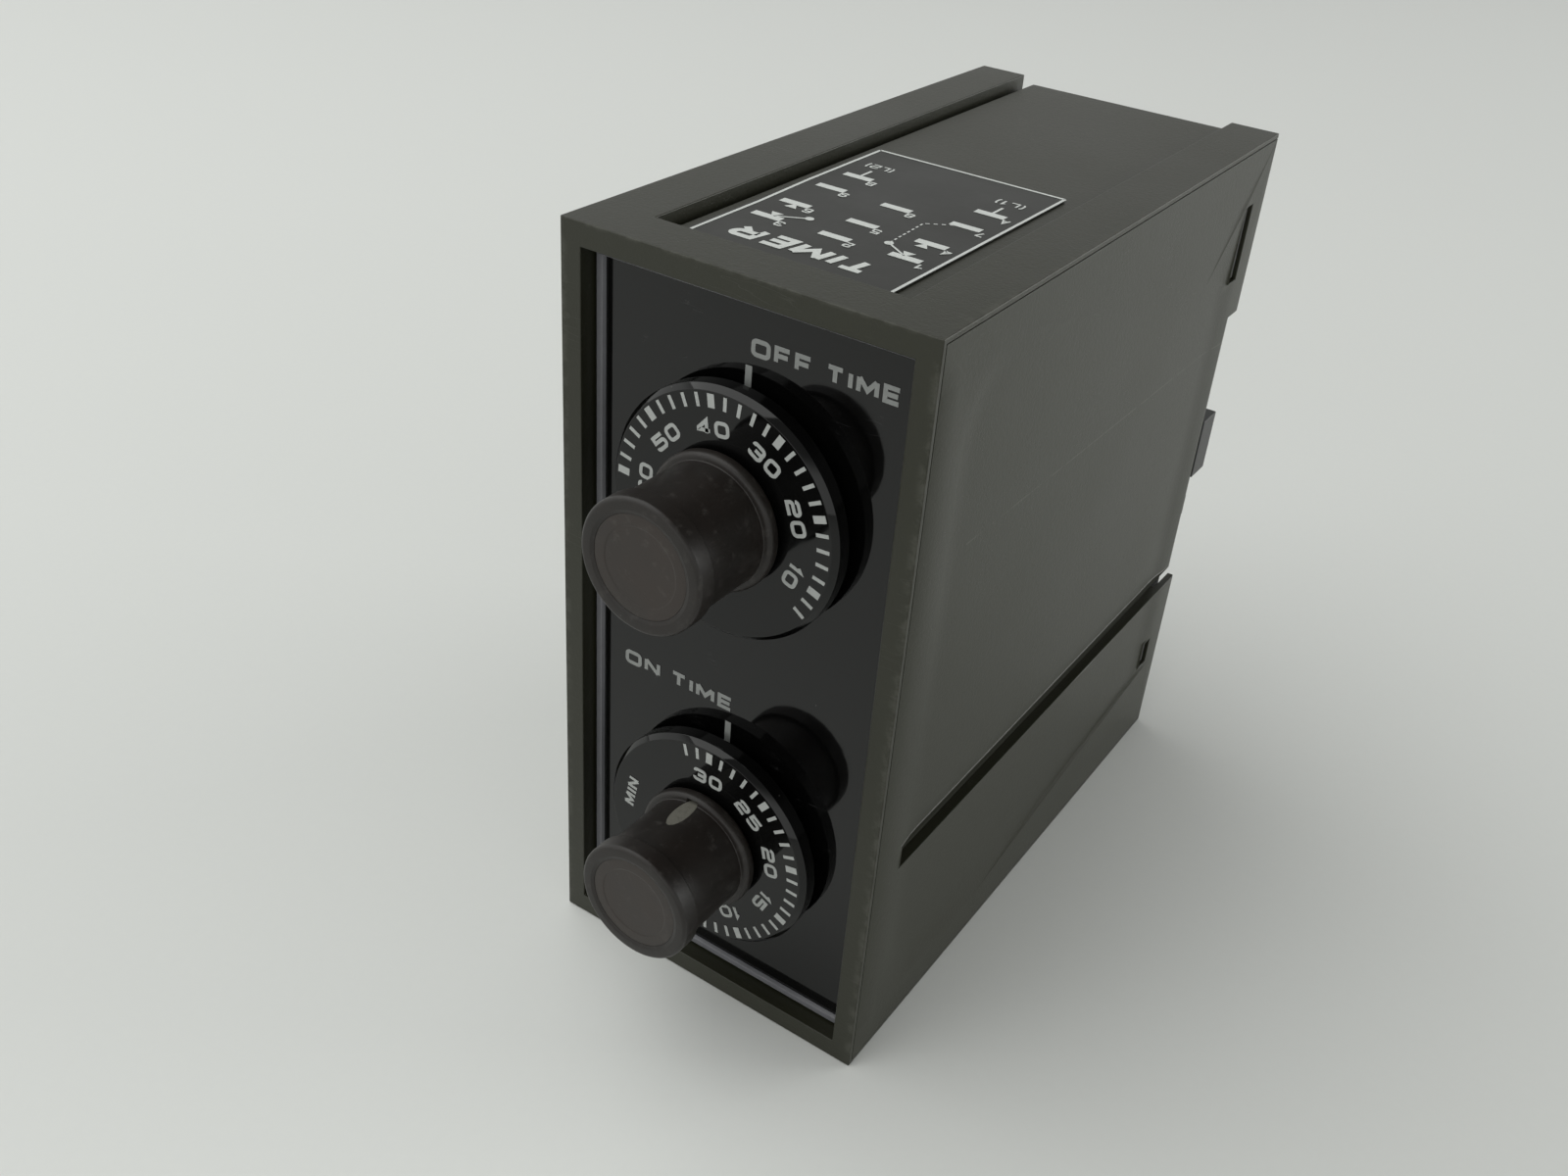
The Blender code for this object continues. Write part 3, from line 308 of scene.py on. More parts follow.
class Finish:
    """A procedural material on a Principled shader."""

    def __init__(self, name):
        self.material = bpy.data.materials.new(name)
        self.material.use_nodes = True
        self.tree = self.material.node_tree
        self.shader = self.tree.nodes["Principled BSDF"]
        coordinates = self.tree.nodes.new("ShaderNodeTexCoord")
        self.place = Value(self, coordinates.outputs["Object"])
        split = self.node("ShaderNodeSeparateXYZ", {}, {0: self.place})
        self.x, self.y, self.z = (Value(self, socket) for socket in split.socket.node.outputs)

    def node(self, kind, choices, inputs, output=0):
        node = self.tree.nodes.new(kind)
        for name, value in choices.items():
            setattr(node, name, value)
        for key, value in inputs.items():
            if isinstance(value, Value):
                self.tree.links.new(value.socket, node.inputs[key])
            else:
                node.inputs[key].default_value = value
        return Value(self, node.outputs[output])

    def noise(self, size, detail=3.0, roughness=0.5, stretch=(1.0, 1.0, 1.0)):
        """Noise from 0 to 1 whose features are about this size in metres."""
        place = self.node("ShaderNodeMapping", {}, {"Vector": self.place, "Scale": stretch})
        return self.node("ShaderNodeTexNoise", {}, {"Vector": place, "Scale": 1.0 / size, "Detail": detail,
                                                    "Roughness": roughness})

    def bands(self, axis, spacing, wander=0.0):
        """Soft stripes from 0 to 1 across an axis, one every spacing metres."""
        return self.node("ShaderNodeTexWave", {"bands_direction": axis},
                         {"Vector": self.place, "Scale": 0.314 / spacing, "Distortion": wander}, 1)

    def specks(self, size, radius, share):
        """Small round specks: size of a cell, radius as a share of it, and share of the cells used."""
        settings_at = {"Vector": self.place, "Scale": 1.0 / size}
        distance = self.node("ShaderNodeTexVoronoi", {}, settings_at, "Distance")
        chance = self.node("ShaderNodeTexVoronoi", {}, settings_at, "Color")
        split = self.node("ShaderNodeSeparateXYZ", {}, {0: chance})
        return distance.smooth(radius, radius * 0.5) * (split < share)

    def hairlines(self, size, width, turn, share=0.5):
        """Fine scratches: thin bands of a stretched noise, kept only in patches."""
        place = self.node("ShaderNodeMapping", {}, {"Vector": self.place, "Rotation": turn,
                                                    "Scale": (1, 9, 9)})
        wander = self.node("ShaderNodeTexNoise", {}, {"Vector": place, "Scale": 1.0 / size, "Detail": 2.0})
        return abs(wander - 0.5).smooth(width, 0.0) * self.noise(size * 0.6).smooth(1.0 - share, 1.1 - share)

    def blend(self, amount, first, second):
        """One colour over another."""
        first, second = (c if isinstance(c, Value) else (*c, 1.0) for c in (first, second))
        return self.node("ShaderNodeMix", {"data_type": "RGBA"}, {0: amount, 6: first, 7: second}, 2)

    def shade(self, tint, amount):
        """A colour made lighter or darker by a factor."""
        tint = tint if isinstance(tint, Value) else (*tint, 1.0)
        grey = self.node("ShaderNodeCombineXYZ", {}, {0: amount, 1: amount, 2: amount})
        return self.node("ShaderNodeMix", {"data_type": "RGBA", "blend_type": "MULTIPLY"},
                         {0: 1.0, 6: tint, 7: grey}, 2)

    def bump(self, height, depth, strength=1.0):
        return self.node("ShaderNodeBump", {}, {"Strength": strength, "Distance": depth, "Height": height})

    def done(self, base, roughness, bump, metallic=0.0, ior=1.5, coat=0.0, transmission=0.0):
        """Join the looks to the shader and return the material."""
        values = {"Base Color": base, "Roughness": roughness, "Metallic": metallic, "IOR": ior,
                  "Coat Weight": coat, "Transmission Weight": transmission, "Normal": bump}
        for name, value in values.items():
            if isinstance(value, Value):
                self.tree.links.new(value.socket, self.shader.inputs[name])
            elif isinstance(value, tuple):
                self.shader.inputs[name].default_value = (*value, 1.0)
            else:
                self.shader.inputs[name].default_value = value
        return self.material


def housing_plastic():
    """Satin moulded plastic: fine grain, cloudy wear, pale scuffed edges, dust and a long scratch."""
    f = Finish("housing_plastic")
    base = settings().housing.colour
    cloud = f.noise(24 * MM, 4.0)
    grain = f.noise(0.35 * MM, 2.0)
    streak = f.noise(9 * MM, 3.0, stretch=(1.0, 0.16, 1.0))
    body = f.shade(base, 0.86 + cloud * 0.2 + grain * 0.1 + streak * 0.08)
    near_side = abs(f.x).smooth(SHELL_HIGH.x - 1.2 * MM, SHELL_HIGH.x - 0.1 * MM)
    near_front = f.y.smooth(BEZEL_Y + 0.5 * MM, BEZEL_Y)
    near_top = f.z.smooth(SHELL_HIGH.z - 0.5 * MM, SHELL_HIGH.z)
    corner = near_side * near_top + near_side * near_front + near_front * near_top
    worn = corner * f.noise(1.6 * MM, 5.0, 0.65).smooth(0.42, 0.62)
    rubbed = f.hairlines(14 * MM, 0.006, (0.4, 0.9, 0.5))
    on_side = f.x > SHELL_HIGH.x - 2.0 * MM
    line = abs(f.z - (67.6 * MM + (f.y + 5 * MM) * -0.016)).smooth(0.14 * MM, 0.03 * MM)
    long_scratch = line * on_side * (f.y > BEZEL_Y + 12 * MM) * f.noise(3 * MM).smooth(0.35, 0.55)
    dust = f.specks(2.6 * MM, 0.035, 0.2)
    pale = (0.14, 0.14, 0.12)
    body = f.blend(worn * 0.2, body, pale)
    body = f.blend(rubbed * 0.08, body, pale)
    body = f.blend(long_scratch * 0.3, body, pale)
    body = f.blend(dust * 0.35, body, (0.24, 0.24, 0.22))
    roughness = 0.35 + cloud * 0.08 + grain * 0.06 + worn * 0.06
    relief = f.bump(grain + f.noise(0.9 * MM, 3.0) * 0.6 - rubbed * 0.5, 0.04 * MM, 0.5)
    return f.done(body, roughness, relief, ior=1.44)


def plate_gloss():
    """High-gloss plastic sheet with faint smears, orange peel and dust."""
    f = Finish("plate_gloss")
    base = settings().plate.colour
    smear = f.noise(11 * MM, 4.0, 0.6).smooth(0.4, 0.75)
    fine = f.hairlines(10 * MM, 0.004, (0.2, 0.5, 1.1), 0.45)
    dust = f.specks(2.2 * MM, 0.03, 0.22)
    body = f.blend(dust * 0.5, f.blend(fine * 0.08, base, (0.3, 0.3, 0.3)), (0.35, 0.35, 0.34))
    roughness = 0.045 + smear * 0.05 + fine * 0.1 + dust * 0.4
    relief = f.bump(f.noise(4 * MM, 2.0), 0.012 * MM, 0.5)
    return f.done(body, roughness, relief, ior=1.43)


def dial_gloss():
    f = Finish("dial_gloss")
    base = settings().dial.colour
    smear = f.noise(7 * MM, 4.0, 0.6).smooth(0.4, 0.75)
    dust = f.specks(1.8 * MM, 0.035, 0.2)
    body = f.blend(dust * 0.4, f.shade(base, 0.9 + smear * 0.25), (0.35, 0.35, 0.34))
    roughness = 0.06 + smear * 0.06 + dust * 0.4
    relief = f.bump(f.noise(2.5 * MM, 2.0), 0.012 * MM, 0.5)
    return f.done(body, roughness, relief, ior=1.39)


def white_ink(name="white_ink", strength=1.0):
    """Screen-printed ink: slightly uneven, with worn pinholes."""
    f = Finish(name)
    base = tuple(channel * strength for channel in settings().plate.print_colour)
    patch = f.noise(0.9 * MM, 4.0, 0.6)
    pinholes = f.specks(0.5 * MM, 0.16, 0.12)
    body = f.blend(pinholes * 0.6, f.shade(base, 0.86 + patch * 0.22), (0.08, 0.08, 0.08))
    return f.done(body, 0.42 + patch * 0.12, f.bump(patch, 0.01 * MM, 0.4))


def bead_satin():
    """Grey satin lacquer on the face plate's bead, rubbed along its crown."""
    f = Finish("bead_satin")
    rub = f.noise(2.2 * MM, 4.0, 0.6)
    grain = f.noise(0.3 * MM, 2.0)
    body = f.shade((0.13, 0.13, 0.14), 0.75 + rub * 0.35 + grain * 0.15)
    return f.done(body, 0.3 + rub * 0.15, f.bump(grain, 0.01 * MM, 0.4))


def knob_plastic(name="knob_plastic", painted_light_factor=1.0):
    """Satin brown-grey plastic, cloudy, with a fine grain, grime and dust; a factor above 1 gives a lighter
    copy that paints light onto a lit face.
    """
    f = Finish(name)
    base = tuple(channel * painted_light_factor for channel in settings().knob.colour)
    cloud = f.noise(5 * MM, 4.0)
    grain = f.noise(0.22 * MM, 2.0)
    grime = f.noise(1.3 * MM, 5.0, 0.65).smooth(0.55, 0.75)
    browner = tuple(channel * more for channel, more in zip(base, (1.25, 1.08, 1.0)))
    warm = f.blend(cloud.smooth(0.35, 0.7) * 0.5, base, browner)
    body = f.blend(grime * 0.16, f.shade(warm, 0.88 + grain * 0.2), (0.14, 0.13, 0.12))
    dust = f.specks(1.1 * MM, 0.05, 0.14)
    body = f.blend(dust * 0.5, body, (0.3, 0.29, 0.27))
    roughness = 0.36 + cloud * 0.12 + grime * 0.1
    return f.done(body, roughness, f.bump(grain + grime * 0.5, 0.02 * MM, 0.5), ior=1.42)


def screw_zinc():
    """Dull, pale oxidised zinc of the set screws."""
    f = Finish("set_screw_zinc")
    bloom = f.noise(0.7 * MM, 4.0, 0.6)
    grain = f.noise(0.12 * MM, 2.0)
    body = f.blend(bloom.smooth(0.5, 0.75) * 0.6, f.shade((0.125, 0.12, 0.10), 0.8 + grain * 0.4),
                   (0.06, 0.055, 0.045))
    return f.done(body, 0.55 + bloom * 0.2, f.bump(grain, 0.015 * MM, 0.5))


def black_plastic():
    """Black glass-filled moulding with a dry, slightly streaked skin."""
    f = Finish("black_plastic")
    flow = f.noise(6 * MM, 4.0, 0.6, (1.0, 1.0, 0.25))
    grain = f.noise(0.25 * MM, 2.0)
    body = f.shade((0.016, 0.016, 0.016), 0.7 + flow * 0.5 + grain * 0.3)
    dust = f.specks(2.0 * MM, 0.04, 0.2)
    body = f.blend(dust * 0.5, body, (0.22, 0.21, 0.2))
    return f.done(body, 0.38 + flow * 0.18, f.bump(grain, 0.02 * MM, 0.5))


def label_film():
    """Dark printed film with a soft sheen, finger marks and slight waviness."""
    f = Finish("label_film")
    smear = f.noise(8 * MM, 4.0, 0.6)
    grain = f.noise(0.4 * MM, 2.0)
    body = f.shade((0.014, 0.014, 0.012), 0.85 + smear * 0.2 + grain * 0.1)
    waves = f.noise(6 * MM, 2.0)
    return f.done(body, 0.36 + smear * 0.14, f.bump(waves + grain * 0.15, 0.05 * MM, 0.4), ior=1.42)


def metal(name, base, roughness, tarnish, streaks):
    """Metal with grain along one axis and patches of tarnish."""
    f = Finish(name)
    grain = f.noise(0.5 * MM, 3.0, 0.6, streaks)
    patch = f.noise(3 * MM, 4.0, 0.6).smooth(0.45, 0.7)
    body = f.blend(patch * 0.5, f.shade(base, 0.85 + grain * 0.3), tarnish)
    return f.done(body, roughness + grain * 0.15 + patch * 0.12, f.bump(grain, 0.01 * MM, 0.4), metallic=1.0)


def laminated_steel():
    """Core steel with the edges of its stacked sheets showing."""
    f = Finish("laminated_steel")
    sheets = f.bands("X", 0.5 * MM, 0.6)
    rust = f.noise(2 * MM, 4.0, 0.6).smooth(0.55, 0.75)
    body = f.blend(rust * 0.4, f.shade((0.28, 0.28, 0.29), 0.6 + sheets * 0.5), (0.12, 0.07, 0.04))
    return f.done(body, 0.45 + rust * 0.3, f.bump(sheets, 0.05 * MM, 0.6), metallic=0.9)


def board_laminate():
    """Green-lacquered board with a woven ground and pale tracks."""
    f = Finish("board_laminate")
    weave = f.bands("Y", 0.6 * MM) * f.bands("Z", 0.6 * MM)
    ground = f.shade((0.035, 0.085, 0.03), 0.8 + weave * 0.3)
    wander = f.noise(9 * MM, 1.0, 0.4)
    tracks = abs(wander - 0.5).smooth(0.02, 0.012)
    body = f.blend(tracks * 0.7, ground, (0.09, 0.18, 0.06))
    return f.done(body, 0.32 + weave * 0.1, f.bump(weave * 0.3 + tracks, 0.03 * MM, 0.5), coat=0.2)


def winding():
    """Enamelled wire under tape: fine turns and overlaps."""
    f = Finish("winding")
    turns = f.bands("Z", 0.3 * MM)
    patch = f.noise(3 * MM, 3.0)
    body = f.shade((0.42, 0.25, 0.06), 0.6 + turns * 0.4 + patch * 0.2)
    return f.done(body, 0.34 + patch * 0.12, f.bump(turns, 0.06 * MM, 0.6))


def striped(name, base, bands, spacing, roughness):
    """A small component's lacquer or sleeve with marking bands."""
    f = Finish(name)
    band = f.bands("Z", spacing)
    patch = f.noise(1.4 * MM, 4.0)
    body = f.blend(band.smooth(0.86, 0.92), f.shade(base, 0.8 + patch * 0.35), bands)
    return f.done(body, roughness + patch * 0.12, f.bump(patch, 0.02 * MM, 0.5))


def carbon_film():
    """Matt resistive film with a fine grain."""
    f = Finish("carbon_film")
    grain = f.noise(0.15 * MM, 3.0)
    body = f.shade((0.02, 0.02, 0.02), 0.7 + grain * 0.6)
    return f.done(body, 0.5 + grain * 0.2, f.bump(grain, 0.01 * MM))


def floor_paint():
    """Pale painted floor, barely uneven."""
    f = Finish("floor_paint")
    cloud = f.noise(0.35, 3.0)
    grain = f.noise(1.2 * MM, 3.0)
    body = f.shade(settings().stage.floor_colour, 0.97 + cloud * 0.04 + grain * 0.02)
    return f.done(body, 0.42 + cloud * 0.1, f.bump(grain, 0.05 * MM, 0.15))


def clear_case():
    f = Finish("clear_case")
    haze = f.noise(5 * MM, 4.0)
    return f.done((0.75, 0.78, 0.8), 0.08 + haze * 0.12, f.bump(haze, 0.02 * MM, 0.3), transmission=0.85)


# Mesh tools -----------------------------------------------------------------

def add_piece(name, bm, material, body, replaces=(), crisp=50.0):
    """Turn a finished bmesh into a piece that rides on a body; broken edges shade into flat faces."""
    mesh = bpy.data.meshes.new(name)
    bm.to_mesh(mesh)
    bm.free()
    mesh.materials.append(MATERIALS[material])
    mesh.shade_smooth()
    mesh.set_sharp_from_angle(angle=math.radians(crisp))
    obj = bpy.data.objects.new(name, mesh)
    bpy.context.scene.collection.objects.link(obj)
    weighted = obj.modifiers.new("flat_faces", "WEIGHTED_NORMAL")
    weighted.keep_sharp = True
    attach(obj, body)
    if replaces:
        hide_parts(*replaces)
    return obj


def add_block(bm, low, high):
    """A box between two corners; returns its vertices."""
    low, high = Vector(low), Vector(high)
    verts = bmesh.ops.create_cube(bm, size=1.0)["verts"]
    bmesh.ops.scale(bm, vec=high - low, verts=verts)
    bmesh.ops.translate(bm, vec=(low + high) / 2, verts=verts)
    return verts


def break_edges(bm, width, segments=2, limit=30.0, chosen=lambda edge: True):
    """Bevel the chosen edges that are sharper than the limit."""
    sharp = [edge for edge in bm.edges if edge.is_manifold and edge.calc_face_angle() > math.radians(limit)
             and chosen(edge)]
    bmesh.ops.bevel(bm, geom=sharp, offset=width, offset_type="OFFSET", segments=segments, profile=0.5,
                    affect="EDGES", material=-1, clamp_overlap=True)


def frame_copy(node):
    """A merged copy of a frame node's mesh with its flat faces whole again."""
    bm = bmesh.new()
    bm.from_mesh(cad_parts[node].data)
    bmesh.ops.remove_doubles(bm, verts=bm.verts, dist=1e-6)
    bmesh.ops.dissolve_limit(bm, angle_limit=math.radians(0.5), verts=bm.verts, edges=bm.edges)
    return bm


def fillet(points, steps=5):
    """Profile points from (radius, height, rounding): each rounded corner becomes a short arc."""
    out = []
    for index, (r, h, rounding) in enumerate(points):
        corner = Vector((r, h))
        if not rounding:
            out.append(corner)
            continue
        before = (Vector(points[index - 1][:2]) - corner).normalized()
        after = (Vector(points[(index + 1) % len(points)][:2]) - corner).normalized()
        half = before.angle(after) / 2
        reach = rounding / math.tan(half)
        centre = corner + (before + after).normalized() * rounding / math.sin(half)
        start, end = corner + before * reach - centre, corner + after * reach - centre
        for step in range(steps + 1):
            out.append(centre + start.slerp(end, step / steps).normalized() * rounding)
    return out


def lathe(points, steps, closed=False):
    """A solid of revolution about Z from (radius, height, rounding) points."""
    bm = bmesh.new()
    verts = [bm.verts.new((point.x, 0.0, point.y)) for point in fillet(points)]
    pairs = list(zip(verts, verts[1:])) + ([(verts[-1], verts[0])] if closed else [])
    edges = [bm.edges.new(pair) for pair in pairs]
    bmesh.ops.spin(bm, geom=verts + edges, cent=(0, 0, 0), axis=(0, 0, 1), angle=math.tau, steps=steps,
                   use_merge=True)
    bmesh.ops.remove_doubles(bm, verts=bm.verts, dist=1e-7)
    bmesh.ops.recalc_face_normals(bm, faces=bm.faces)
    return bm


def add_turned(time, name, bm, material, node, cutter=None):
    """Stand a piece turned about its own Z on a knob's axis, its Z out of the panel, and add it cut."""
    matrix = Matrix.Translation((0, BEZEL_Y, AXIS_Z[time])) @ Matrix.Rotation(math.pi / 2, 4, "X")
    bmesh.ops.transform(bm, matrix=matrix, verts=bm.verts)
    add_piece(f"{time}_{name}", carve(bm, cutter) if cutter else bm, material, f"{time}_knob_set",
              [f"{time}_{node}"], crisp=60.0)


def screw_slot(time, long, wide, inner, outer):
    """An oval rod square to the knob's axis, centred on the knob's set screw."""
    _, _, middle = spans(f"{time}_set_screw")
    axis = Vector((0, middle.y, AXIS_Z[time]))
    out = (middle - axis).normalized()
    axis.y -= SLOT_FORWARD
    bm = bmesh.new()
    bmesh.ops.create_cone(bm, cap_ends=True, segments=40, radius1=1, radius2=1, depth=1)
    bmesh.ops.scale(bm, vec=(wide / 2, long / 2, outer - inner), verts=bm.verts)
    across = Vector((0, 1, 0)).cross(out)
    turn = Matrix((across, (0, 1, 0), out)).transposed().to_4x4()
    place = Matrix.Translation(axis + out * (inner + outer) / 2) @ turn
    bmesh.ops.transform(bm, matrix=place, verts=bm.verts)
    return bm


def passing_object(bm):
    """An object made of a bmesh, there only for its modifiers to work on."""
    mesh = bpy.data.meshes.new("passing")
    bm.to_mesh(mesh)
    bm.free()
    obj = bpy.data.objects.new("passing", mesh)
    bpy.context.scene.collection.objects.link(obj)
    return obj


def gather(bm, obj, *helpers):
    """Add to a bmesh what an object's modifiers make of it, and remove the object and its helpers."""
    made = bpy.data.meshes.new_from_object(obj.evaluated_get(bpy.context.evaluated_depsgraph_get()))
    bm.from_mesh(made)
    bpy.data.meshes.remove(made)
    for used in (obj, *helpers):
        mesh = used.data
        bpy.data.objects.remove(used)
        bpy.data.meshes.remove(mesh)
    return bm


def carve(bm, tool):
    """Cut one closed bmesh out of another."""
    for source in (bm, tool):
        bmesh.ops.recalc_face_normals(source, faces=source.faces)
    body, cutter = passing_object(bm), passing_object(tool)
    cut = body.modifiers.new("cut", "BOOLEAN")
    cut.solver = "EXACT"
    cut.object = cutter
    return gather(bmesh.new(), body, cutter)


class Ink:
    """Flat print drawn in strokes of even width, then made into thin solid pieces."""

    def __init__(self, thickness=None):
        self.thickness = thickness or settings().plate.print_thickness
        self.walls = {}
        self.solid = bmesh.new()

    def stroke(self, points, width, place, closed=False):
        """Draw a line through the points; it stands as a wall until it is given its width."""
        walls = self.walls.setdefault(round(width, 7), bmesh.new())
        verts = [walls.verts.new(place @ Vector((x, y, -self.thickness / 2))) for x, y in points]
        pairs = list(zip(verts, verts[1:])) + ([(verts[-1], verts[0])] if closed else [])
        raised = bmesh.ops.extrude_edge_only(walls, edges=[walls.edges.new(pair) for pair in pairs])
        tops = [item for item in raised["geom"] if isinstance(item, bmesh.types.BMVert)]
        bmesh.ops.translate(walls, vec=place.to_3x3() @ Vector((0, 0, self.thickness)), verts=tops)

    def dashes(self, start, end, width, dash, place):
        start, end = Vector(start), Vector(end)
        count = max(1, round((end - start).length / (2 * dash)))
        for index in range(count):
            ends = [start.lerp(end, (index + share) / count) for share in (0.25, 0.75)]
            self.stroke(ends, width, place)

    def letters(self, words, height, span, width, place, lean=0.0):
        """Draw words centred on the place, this tall and this wide overall, in strokes of this width."""
        unit = span / (sum(LETTERS[letter][0] for letter in words) + LETTER_GAP * (len(words) - 1))
        left = -span / 2
        for letter in words:
            share, paths = LETTERS[letter]
            for layer, (closed, points) in enumerate(paths):
                lifted = place @ Matrix.Translation((0, 0, layer * INK_STEP))
                drawn = []
                for point in fillet(points, 4):
                    y = (point.y - 0.5) * (height - width)
                    drawn.append((left + width / 2 + point.x * (share * unit - width) + y * lean, y))
                self.stroke(drawn, width, lifted, closed)
            left += (share + LETTER_GAP) * unit

    def disc(self, radius, place, sides=24):
        verts = bmesh.ops.create_cone(self.solid, cap_ends=True, segments=sides, radius1=radius,
                                      radius2=radius, depth=self.thickness)["verts"]
        bmesh.ops.transform(self.solid, matrix=place, verts=verts)

    def finished(self):
        """Give every line its width and return all the print as one bmesh."""
        for width, walls in self.walls.items():
            obj = passing_object(walls)
            wall = obj.modifiers.new("width", "SOLIDIFY")
            wall.thickness = width
            wall.offset = 0.0
            wall.use_even_offset = True
            wall.use_quality_normals = True
            gather(self.solid, obj)
        bmesh.ops.recalc_face_normals(self.solid, faces=self.solid.faces)
        return self.solid


def print_gap():
    plate = settings().plate
    return plate.print_lift + plate.print_thickness / 2


def on_front(x, z, surface_y):
    """Matrix that stands flat work just off a face that looks forward."""
    return Matrix.Translation((x, surface_y - print_gap(), z)) @ Matrix.Rotation(math.pi / 2, 4, "X")


# Pieces ---------------------------------------------------------------------

class DIALTIMER_OT_housing(bpy.types.Operator):
    """Housing shell and its right side cover, with broken edges and a soft sunk panel in each side"""
    bl_idname = "dialtimer.housing"
    bl_label = "Housing"

    def execute(self, context):
        housing = settings().housing
        levels = self.seam_levels()
        for node, name, side in (("housing_shell", "housing_body", -1), ("side_cover", "side_panel", 1)):
            bm = frame_copy(node)
            if node == "side_cover":
                self.close_seam(bm, *levels)
            break_edges(bm, housing.seam_edge, 1, chosen=lambda edge: self.beside_seam(edge, *levels))
            break_edges(bm, housing.edge, chosen=lambda edge: not self.beside_seam(edge, *levels)
                        and edge.calc_length() > housing.edge)
            self.sink_panel(bm, side)
            add_piece(name, bm, "housing", "housing", [node])
        return {"FINISHED"}

    @staticmethod
    def seam_levels():
        """Heights and depth of the joint's middle round the side cover."""
        low, high, _ = spans("side_cover")
        return (low.z - HALF_SEAM, high.z + HALF_SEAM), low.y - HALF_SEAM

    @staticmethod
    def beside_seam(edge, lip_z, lip_y):
        """Whether an edge runs along the joint round the side cover, on either side of it."""
        for axis, levels in ((2, lip_z), (1, (lip_y,))):
            for level in levels:
                if all(vert.co.x > COVER_X and abs(vert.co[axis] - level) < SEAM_REACH
                       for vert in edge.verts):
                    return True
        return False

    @staticmethod
    def close_seam(bm, lip_z, lip_y):
        """Grow the cover's rim until only a fine joint is left."""
        for vert in bm.verts:
            if abs(vert.co.z - lip_z[1]) < SEAM_CLOSE:
                vert.co.z += SEAM_CLOSE
            if abs(vert.co.z - lip_z[0]) < SEAM_CLOSE:
                vert.co.z -= SEAM_CLOSE
            if abs(vert.co.y - lip_y) < SEAM_CLOSE:
                vert.co.y -= SEAM_CLOSE

    @staticmethod
    def sink_panel(bm, side):
        """Cut the big flat face of one side into cells and press the soft panel into it."""
        housing = settings().housing
        outer = [face for face in bm.faces if face.normal.x * side > 0.9
                 and abs(face.calc_center_median().x) > SIDE_X and face.calc_center_median().z > RAIL_TOP_Z]
        face = max(outer, key=lambda face: face.calc_area())
        low = Vector(map(min, *(vert.co for vert in face.verts)))
        high = Vector(map(max, *(vert.co for vert in face.verts)))
        panel_low = low + Vector((0, housing.sink_margin, housing.sink_margin))
        panel_high = high - Vector((0, housing.sink_margin, housing.sink_margin))
        region = [face]
        for axis, normal in ((1, Vector((0, 1, 0))), (2, Vector((0, 0, 1)))):
            count = int((panel_high[axis] - panel_low[axis]) / housing.cell)
            for step in range(count + 1):
                point = panel_low.copy()
                point[axis] += (panel_high[axis] - panel_low[axis]) * step / count
                verts = {vert for face in region for vert in face.verts}
                edges = {edge for face in region for edge in face.edges}
                made = bmesh.ops.bisect_plane(bm, geom=[*verts, *edges, *region], dist=1e-7, plane_co=point,
                                              plane_no=normal)
                region = [item for item in made["geom"] if isinstance(item, bmesh.types.BMFace)]
        for vert in {vert for face in region for vert in face.verts}:
            distance = rounded_box_distance(vert.co, panel_low, panel_high, housing.sink_corner)
            vert.co.x -= side * housing.sink * smooth_step(-distance / housing.sink_softness)


def rounded_box_distance(point, low, high, corner):
    """Signed distance in a side's plane to a rounded rectangle, negative inside."""
    middle = (low + high) / 2
    half = (high - low) / 2
    dy = abs(point.y - middle.y) - half.y + corner
    dz = abs(point.z - middle.z) - half.z + corner
    return math.hypot(max(dy, 0.0), max(dz, 0.0)) + min(max(dy, dz), 0.0) - corner


def smooth_step(value):
    value = min(max(value, 0.0), 1.0)
    return value * value * (3 - 2 * value)


class DIALTIMER_OT_face_plate(bpy.types.Operator):
    """Glossy face plate, the satin bead round its border and the pale print on it"""
    bl_idname = "dialtimer.face_plate"
    bl_label = "Face plate"

    def execute(self, context):
        plate = settings().plate
        flat_y = PLATE_LOW.y + RIM_HEIGHT
        sheet = bmesh.new()
        add_block(sheet, (PLATE_LOW.x, flat_y, PLATE_LOW.z), PLATE_HIGH)
        break_edges(sheet, 0.1 * MM)
        add_piece("face_sheet", sheet, "plate", "housing", ["face_plate"])
        self.bead(flat_y)
        ink = Ink()
        for time, words, middle_x, above, span in PLATE_WORDS:
            place = on_front(middle_x * MM, AXIS_Z[time] + above * MM, flat_y)
            ink.letters(words, plate.word_height, span * MM, plate.word_stroke, place)
            top = AXIS_Z[time] + plate.index_top
            ink.stroke(((0, 0), (0, -plate.index_length)), plate.index_width, on_front(0, top, flat_y))
        add_piece("plate_print", ink.finished(), "plate_ink", "housing")
        return {"FINISHED"}

    @staticmethod
    def bead(flat_y):
        """Raised border with a flat crown and a slope down to the sheet."""
        plate = settings().plate
        crown = PLATE_LOW.y + 0.02 * MM
        bm = bmesh.new()
        rings = []
        for inset, y in ((0, flat_y), (0, crown), (plate.bead_width - plate.bead_slope, crown),
                         (plate.bead_width, flat_y)):
            left, right = PLATE_LOW.x + inset, PLATE_HIGH.x - inset
            low, high = PLATE_LOW.z + inset, PLATE_HIGH.z - inset
            rings.append([bm.verts.new((x, y, z)) for x, z in ((left, low), (right, low), (right, high),
                                                               (left, high))])
        for inner, outer in zip(rings, rings[1:] + rings[:1]):
            for index in range(4):
                after = (index + 1) % 4
                bm.faces.new((inner[index], inner[after], outer[after], outer[index]))
        bmesh.ops.recalc_face_normals(bm, faces=bm.faces)
        break_edges(bm, 0.08 * MM, 2, 20.0)
        add_piece("plate_bead", bm, "bead", "housing")


